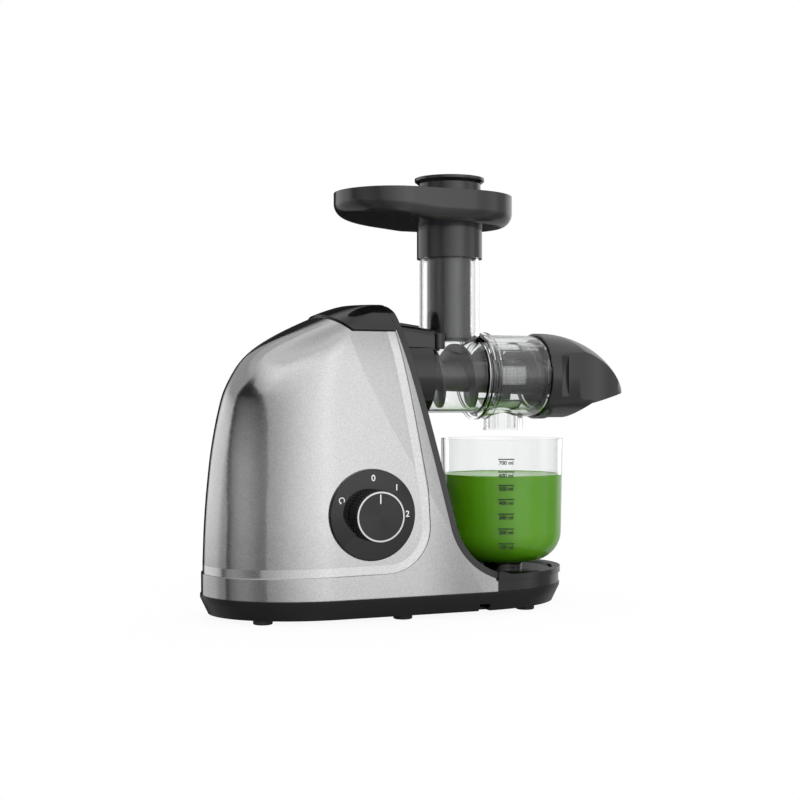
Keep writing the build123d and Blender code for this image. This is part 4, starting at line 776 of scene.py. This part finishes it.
# ------------------------------------------------------------------ nose
# The hood over the pulp outlet is a black moulding with a softer gloss that slips
# over the end of the chamber.
soft_gloss_black = finished(
    "soft_gloss_black", moulded_skin, {"Cloud": 16.0, "Grain": 1200.0},
    ((0.010, 0.010, 0.0104), (0.015, 0.015, 0.0155)), (0.14, 0.20), (0.04, 0.0001),
    {"IOR": 1.75}, edge=0.0007,
)
refined("nose_cap", soft_gloss_black)

# ------------------------------------------------------------------ tray and pusher
# The food tray sits on the feed tube with a deep collar, and the hollow pusher
# stands in it with its flange on top.
refined("food_tray", soft_gloss_black)
refined("pusher", soft_gloss_black)

# ------------------------------------------------------------------ cup
# The cup is one clear moulding with a rounded foot. It is printed with a scale in
# dark ink, and holds fresh green juice.
refined("juice_cup", clear_plastic)
cup_low, cup_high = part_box("juice_cup")
cup_centre = (cup_low + cup_high) / 2
cup_radius = (cup_high.x - cup_low.x) / 2
cup_draft = 0.0016
cup_foot_radius = cup_radius - cup_draft
cup_corner = 0.027
cup_wall = 0.0022
cup_corner_steps = 12
juice_top = 0.1156
juice_overlap = 0.0001
juice_flare = 0.0011


def turned(name, profile, centre, steps):
    """A closed solid turned about an upright axis from (radius, height) points."""
    work = bmesh.new()
    rings = []
    for radius, height in profile:
        if radius == 0:
            rings.append([work.verts.new((centre.x, centre.y, height))])
            continue
        rings.append([
            work.verts.new((
                centre.x + radius * math.cos(2 * math.pi * step / steps),
                centre.y + radius * math.sin(2 * math.pi * step / steps),
                height,
            ))
            for step in range(steps)
        ])
    for lower, upper in zip(rings, rings[1:]):
        for step in range(steps):
            following = (step + 1) % steps
            corners = [lower[step % len(lower)], lower[following % len(lower)],
                       upper[following % len(upper)], upper[step % len(upper)]]
            work.faces.new(dict.fromkeys(corners))
    bmesh.ops.recalc_face_normals(work, faces=work.faces)
    mesh = bpy.data.meshes.new(name)
    work.to_mesh(mesh)
    work.free()
    mesh.shade_smooth()
    mesh.set_sharp_from_angle(angle=math.radians(35))
    return mesh


juice_profile = [(0, cup_low.z + cup_wall - juice_overlap)]
inner_corner = cup_corner - cup_wall + juice_overlap
for step in range(cup_corner_steps + 1):
    angle = math.radians(90 * step / cup_corner_steps)
    juice_profile.append((
        cup_foot_radius - cup_corner + inner_corner * math.sin(angle),
        cup_low.z + cup_corner - inner_corner * math.cos(angle),
    ))
juice_edge = juice_profile[-1][0] + juice_flare
# the surface of the juice sinks a little from its rim to its middle
juice_profile += [
    (juice_edge, juice_top), (juice_edge - 0.0008, juice_top - 0.0003),
    (juice_edge - 0.003, juice_top - 0.0008), (0, juice_top - 0.0009),
]
green_juice = finished(
    "green_juice", moulded_skin, {"Cloud": 22.0, "Grain": 300.0},
    ((0.150, 0.470, 0.004), (0.210, 0.570, 0.007)), (0.18, 0.28), (0.02, 0.0002),
    {"Subsurface Weight": 0.5, "Subsurface Radius": (0.006, 0.012, 0.002)},
)
placed(
    "juice_fill", turned("juice_fill", juice_profile, cup_centre, steps=128), green_juice,
    "cup",
)

cup_ink = finished(
    "cup_ink", moulded_skin, {"Cloud": 90.0, "Grain": 2000.0},
    ((0.012, 0.016, 0.010), (0.020, 0.026, 0.016)), (0.5, 0.6), (0.05, 0.0001), {},
)
scale_turn = math.radians(22)
figure_size = 0.0046
figure_drop = 0.0032
mark_length = 0.0140
mark_width = 0.0009
ink_thickness = 0.0001
ink_gap = 0.00012
scale_marks = ((700, 0.1304), (600, 0.1195), (500, 0.1080), (400, 0.0957), (300, 0.0832),
               (200, 0.0703), (100, 0.0575))
scale_meshes = []
for amount, height in scale_marks:
    figure = written("%d ml" % amount, figure_size, ink_thickness, stroke_weight)
    line = bmesh.new()
    bmesh.ops.create_grid(line, x_segments=12, y_segments=1, size=0.5)
    for corner in line.verts:
        corner.co = (corner.co.x * mark_length, corner.co.y * mark_width + figure_drop, 0)
    line_mesh = bpy.data.meshes.new("line")
    line.to_mesh(line_mesh)
    line.free()
    for mesh in (figure, line_mesh):
        for corner in mesh.vertices:
            share = (height - cup_low.z) / (cup_high.z - cup_low.z)
            radius = cup_foot_radius + (cup_radius - cup_foot_radius) * share + ink_gap
            angle = scale_turn - corner.co.x / radius
            radius += corner.co.z
            corner.co = (
                cup_centre.x - radius * math.sin(angle),
                cup_centre.y - radius * math.cos(angle),
                height - figure_drop + corner.co.y,
            )
        scale_meshes.append(mesh)
placed("cup_scale", joined_mesh("cup_scale", scale_meshes), cup_ink, "cup")

# ------------------------------------------------------------------ floor
# A plain pale table top under the machine. It shows white, keeps a soft shadow, and
# fades to full white away from the feet.
floor_mesh = bpy.data.meshes.new("floor")
floor_half = 6.0
floor_mesh.from_pydata(
    [(-floor_half, -floor_half, 0), (floor_half, -floor_half, 0),
     (floor_half, floor_half, 0), (-floor_half, floor_half, 0)],
    [], [(0, 1, 2, 3)],
)
floor = bpy.data.objects.new("floor", floor_mesh)
bpy.context.scene.collection.objects.link(floor)
floor_white = bpy.data.materials.new("floor_white")
floor_white.use_nodes = True
floor_tree = floor_white.node_tree
floor_shader = floor_tree.nodes["Principled BSDF"]
floor_shader.inputs["Base Color"].default_value = (0.90, 0.90, 0.90, 1)
floor_shader.inputs["Roughness"].default_value = 0.9
floor_shader.inputs["Specular IOR Level"].default_value = 0.0
floor_rays = floor_tree.nodes.new("ShaderNodeLightPath")
seen = computed(
    floor_tree, "ADD", floor_rays.outputs["Is Camera Ray"],
    floor_rays.outputs["Is Transmission Ray"], clamp=True,
)
floor_glow = floor_tree.nodes.new("ShaderNodeEmission")
floor_glow.inputs["Strength"].default_value = 1.0
floor_place = floor_tree.nodes.new("ShaderNodeTexCoord")
floor_distance = floor_tree.nodes.new("ShaderNodeVectorMath")
floor_distance.operation = "LENGTH"
joined(floor_tree, floor_place, "Object", floor_distance, 0)
floor_far = floor_tree.nodes.new("ShaderNodeMapRange")
for label, value in (("From Min", 0.28), ("From Max", 0.62), ("To Min", 0.93), ("To Max", 1.0)):
    floor_far.inputs[label].default_value = value
floor_tree.links.new(floor_distance.outputs["Value"], floor_far.inputs["Value"])
floor_share = computed(floor_tree, "MULTIPLY", seen, floor_far.outputs[0])
floor_mix = floor_tree.nodes.new("ShaderNodeMixShader")
floor_tree.links.new(floor_share, floor_mix.inputs[0])
joined(floor_tree, floor_shader, 0, floor_mix, 1)
joined(floor_tree, floor_glow, 0, floor_mix, 2)
# metal and gloss look through the table top at the studio below it
floor_clear = floor_tree.nodes.new("ShaderNodeBsdfTransparent")
floor_whole = floor_tree.nodes.new("ShaderNodeMixShader")
joined(floor_tree, floor_rays, "Is Glossy Ray", floor_whole, 0)
joined(floor_tree, floor_mix, 0, floor_whole, 1)
joined(floor_tree, floor_clear, 0, floor_whole, 2)
joined(floor_tree, floor_whole, 0, floor_tree.nodes["Material Output"], "Surface")
floor_mesh.materials.append(floor_white)

# ------------------------------------------------------------------ studio
# A bright front wall, a tall dark flag with an arched top at the left, a light behind
# it, and darkness at the back, so that silver and gloss get their edges.
world = bpy.data.worlds.new("studio")
bpy.context.scene.world = world
world.use_nodes = True
sky = world.node_tree
sky_background = sky.nodes["Background"]
sky_place = sky.nodes.new("ShaderNodeTexCoord")
sky_axes = sky.nodes.new("ShaderNodeSeparateXYZ")
joined(sky, sky_place, "Generated", sky_axes, 0)
# degrees round the machine, 0 in front of the dial and positive to its left, and up
to_left = computed(sky, "MULTIPLY", sky_axes.outputs["X"], -1.0)
to_front = computed(sky, "MULTIPLY", sky_axes.outputs["Y"], -1.0)
around = computed(sky, "DEGREES", computed(sky, "ARCTAN2", to_left, to_front))
above = computed(sky, "DEGREES", computed(sky, "ARCSINE", sky_axes.outputs["Z"]))
raised = computed(sky, "MAXIMUM", above, 0.0)


def bent(level, slope, curve):
    """An angle round the machine that changes with the height above the horizon."""
    square = computed(sky, "MULTIPLY", computed(sky, "MULTIPLY", raised, raised), curve)
    line = computed(sky, "ADD", computed(sky, "MULTIPLY", raised, slope), level)
    return computed(sky, "ADD", line, square)


def within(value, start, end):
    """0 at the start and 1 at the end of a range, clamped."""
    node = sky.nodes.new("ShaderNodeMapRange")
    node.inputs["From Min"].default_value = start
    node.inputs["From Max"].default_value = end
    sky.links.new(value, node.inputs["Value"])
    return node.outputs[0]


def toned(value, tones):
    """A grey from a list of (place from 0 to 1, level)."""
    node = sky.nodes.new("ShaderNodeValToRGB")
    sky.links.new(value, node.inputs[0])
    ramp = node.color_ramp.elements
    ramp[0].position, ramp[1].position = tones[0][0], tones[-1][0]
    ramp[0].color = (tones[0][1],) * 3 + (1,)
    ramp[1].color = (tones[-1][1],) * 3 + (1,)
    for place, level in tones[1:-1]:
        ramp.new(place).color = (level, level, level, 1)
    return node.outputs[0]


def blended(share, first, second):
    """Two greys mixed by a share."""
    node = sky.nodes.new("ShaderNodeMix")
    node.data_type = "RGBA"
    sky.links.new(share, node.inputs[0])
    for index, value in ((6, first), (7, second)):
        if isinstance(value, (int, float)):
            node.inputs[index].default_value = (value, value, value, 1)
        else:
            sky.links.new(value, node.inputs[index])
    return node.outputs[2]


wall_slant = 0.042
flag_right = bent(43.0, 0.0, wall_slant)
flag_left = bent(96.0, 1.9, -0.045)
slant_share = computed(sky, "MULTIPLY", within(around, 0.0, 60.0), raised)
slant_share = computed(sky, "MULTIPLY", slant_share, raised)
slanted = computed(sky, "MULTIPLY", slant_share, wall_slant)
slanted = computed(sky, "SUBTRACT", around, slanted)
wall_tones = (
    (-180, 0.02), (-154, 0.03), (-146, 0.80), (-122, 1.0), (-108, 0.9), (-98, 0.40),
    (-80, 0.40), (-66, 0.85), (-48, 0.66), (-36, 0.66), (-29, 0.90), (-22, 1.14), (-8, 1.26),
    (2, 1.10), (10, 0.98), (22, 0.76), (31, 0.60), (36, 0.52), (41, 0.50), (180, 0.50),
)
wall = toned(
    within(slanted, -180.0, 180.0), [(angle / 360 + 0.5, tone) for angle, tone in wall_tones]
)
left_tones = (
    (90, 0.40), (106, 0.45), (112, 0.62), (118, 0.80), (135, 0.92), (158, 1.0), (166, 0.6),
    (170, 0.02), (180, 0.02),
)
left_light = toned(
    within(around, 90.0, 180.0), [((angle - 90) / 90, tone) for angle, tone in left_tones]
)
left_light = blended(within(above, 11.0, 19.0), left_light, 0.40)
flag_width = computed(sky, "SUBTRACT", flag_left, flag_right)
flag_share = computed(sky, "DIVIDE", computed(sky, "SUBTRACT", around, flag_right), flag_width)
flag = toned(flag_share, (
    (0.0, 0.23), (0.15, 0.27), (0.4, 0.42), (0.6, 0.42), (0.8, 0.30), (0.93, 0.12), (1.0, 0.08),
))
flag = blended(within(above, 7.0, 24.0), flag, 0.03)
past_right = within(computed(sky, "SUBTRACT", around, flag_right), -1.0, 1.0)
past_left = within(computed(sky, "SUBTRACT", around, flag_left), -2.0, 2.0)
left_side = blended(within(above, 34.0, 38.0), blended(past_left, flag, left_light), 0.55)
wall = blended(within(above, 34.0, 52.0), wall, 0.80)
studio = blended(past_right, wall, left_side)
studio = blended(within(above, 62.0, 80.0), studio, 0.6)
below = toned(within(above, -45.0, 0.0), (
    (0.0, 0.45), (0.5, 0.45), (0.78, 0.60), (0.87, 0.70), (0.91, 0.85), (0.955, 0.93), (1.0, 1.0),
))
dimmed = sky.nodes.new("ShaderNodeMix")
dimmed.data_type = "RGBA"
dimmed.blend_type = "MULTIPLY"
dimmed.inputs[0].default_value = 1.0
sky.links.new(studio, dimmed.inputs[6])
sky.links.new(below, dimmed.inputs[7])
studio = dimmed.outputs[2]
# The view is white, also through clear plastic. Where that bends a ray far aside it
# shows the studio, which gives it dark edges.
view_turn = math.radians(22)
sky_rays = sky.nodes.new("ShaderNodeLightPath")
behind = sky.nodes.new("ShaderNodeVectorMath")
behind.operation = "DOT_PRODUCT"
behind.inputs[1].default_value = (math.sin(view_turn), math.cos(view_turn), 0)
joined(sky, sky_place, "Generated", behind, 0)
straight = within(behind.outputs["Value"], 0.90, 0.96)
lighting = computed(sky, "GREATER_THAN", sky_rays.outputs["Diffuse Depth"], 0.5)
straight = computed(sky, "MAXIMUM", straight, lighting)
clear_view = computed(sky, "MULTIPLY", sky_rays.outputs["Is Transmission Ray"], straight)
clear_view = computed(sky, "ADD", sky_rays.outputs["Is Camera Ray"], clear_view, clamp=True)
shown_sky = sky.nodes.new("ShaderNodeMix")
shown_sky.data_type = "RGBA"
shown_sky.inputs[7].default_value = (1, 1, 1, 1)
sky.links.new(clear_view, shown_sky.inputs[0])
sky.links.new(studio, shown_sky.inputs[6])
joined(sky, shown_sky, 2, sky_background, "Color")
sky_background.inputs["Strength"].default_value = 1.0


def lamp(name, place, aim, width, height, power):
    """A soft rectangular lamp that looks from its place at a point."""
    data = bpy.data.lights.new(name, "AREA")
    data.shape = "RECTANGLE"
    data.size = width
    data.size_y = height
    data.energy = power
    holder = bpy.data.objects.new(name, data)
    bpy.context.scene.collection.objects.link(holder)
    holder.location = place
    direction = Vector(aim) - Vector(place)
    holder.rotation_euler = direction.to_track_quat("-Z", "Y").to_euler()
    holder.visible_glossy = False


lamp("key", (-0.6, -1.6, 1.3), (0, 0, 0.15), 1.2, 1.2, 14)
lamp("top", (0.1, 0.2, 1.9), (0, 0, 0.2), 1.6, 1.2, 10)
lamp("rim", (1.5, 0.9, 0.6), (0.1, 0, 0.25), 0.4, 1.4, 8)

# ------------------------------------------------------------------ camera
# The camera stands level with the middle of the machine, a little left of the dial,
# and has a long lens.
camera_data = bpy.data.cameras.new("camera")
camera_data.sensor_width = 36.0
camera_data.lens = 63.45
camera_data.shift_y = -0.005
camera = bpy.data.objects.new("camera", camera_data)
bpy.context.scene.collection.objects.link(camera)
camera.location = (-0.48455, -1.1344, 0.185)
camera.rotation_euler = (math.radians(90), 0, -view_turn)
bpy.context.scene.camera = camera
bpy.context.scene.view_settings.view_transform = "Standard"
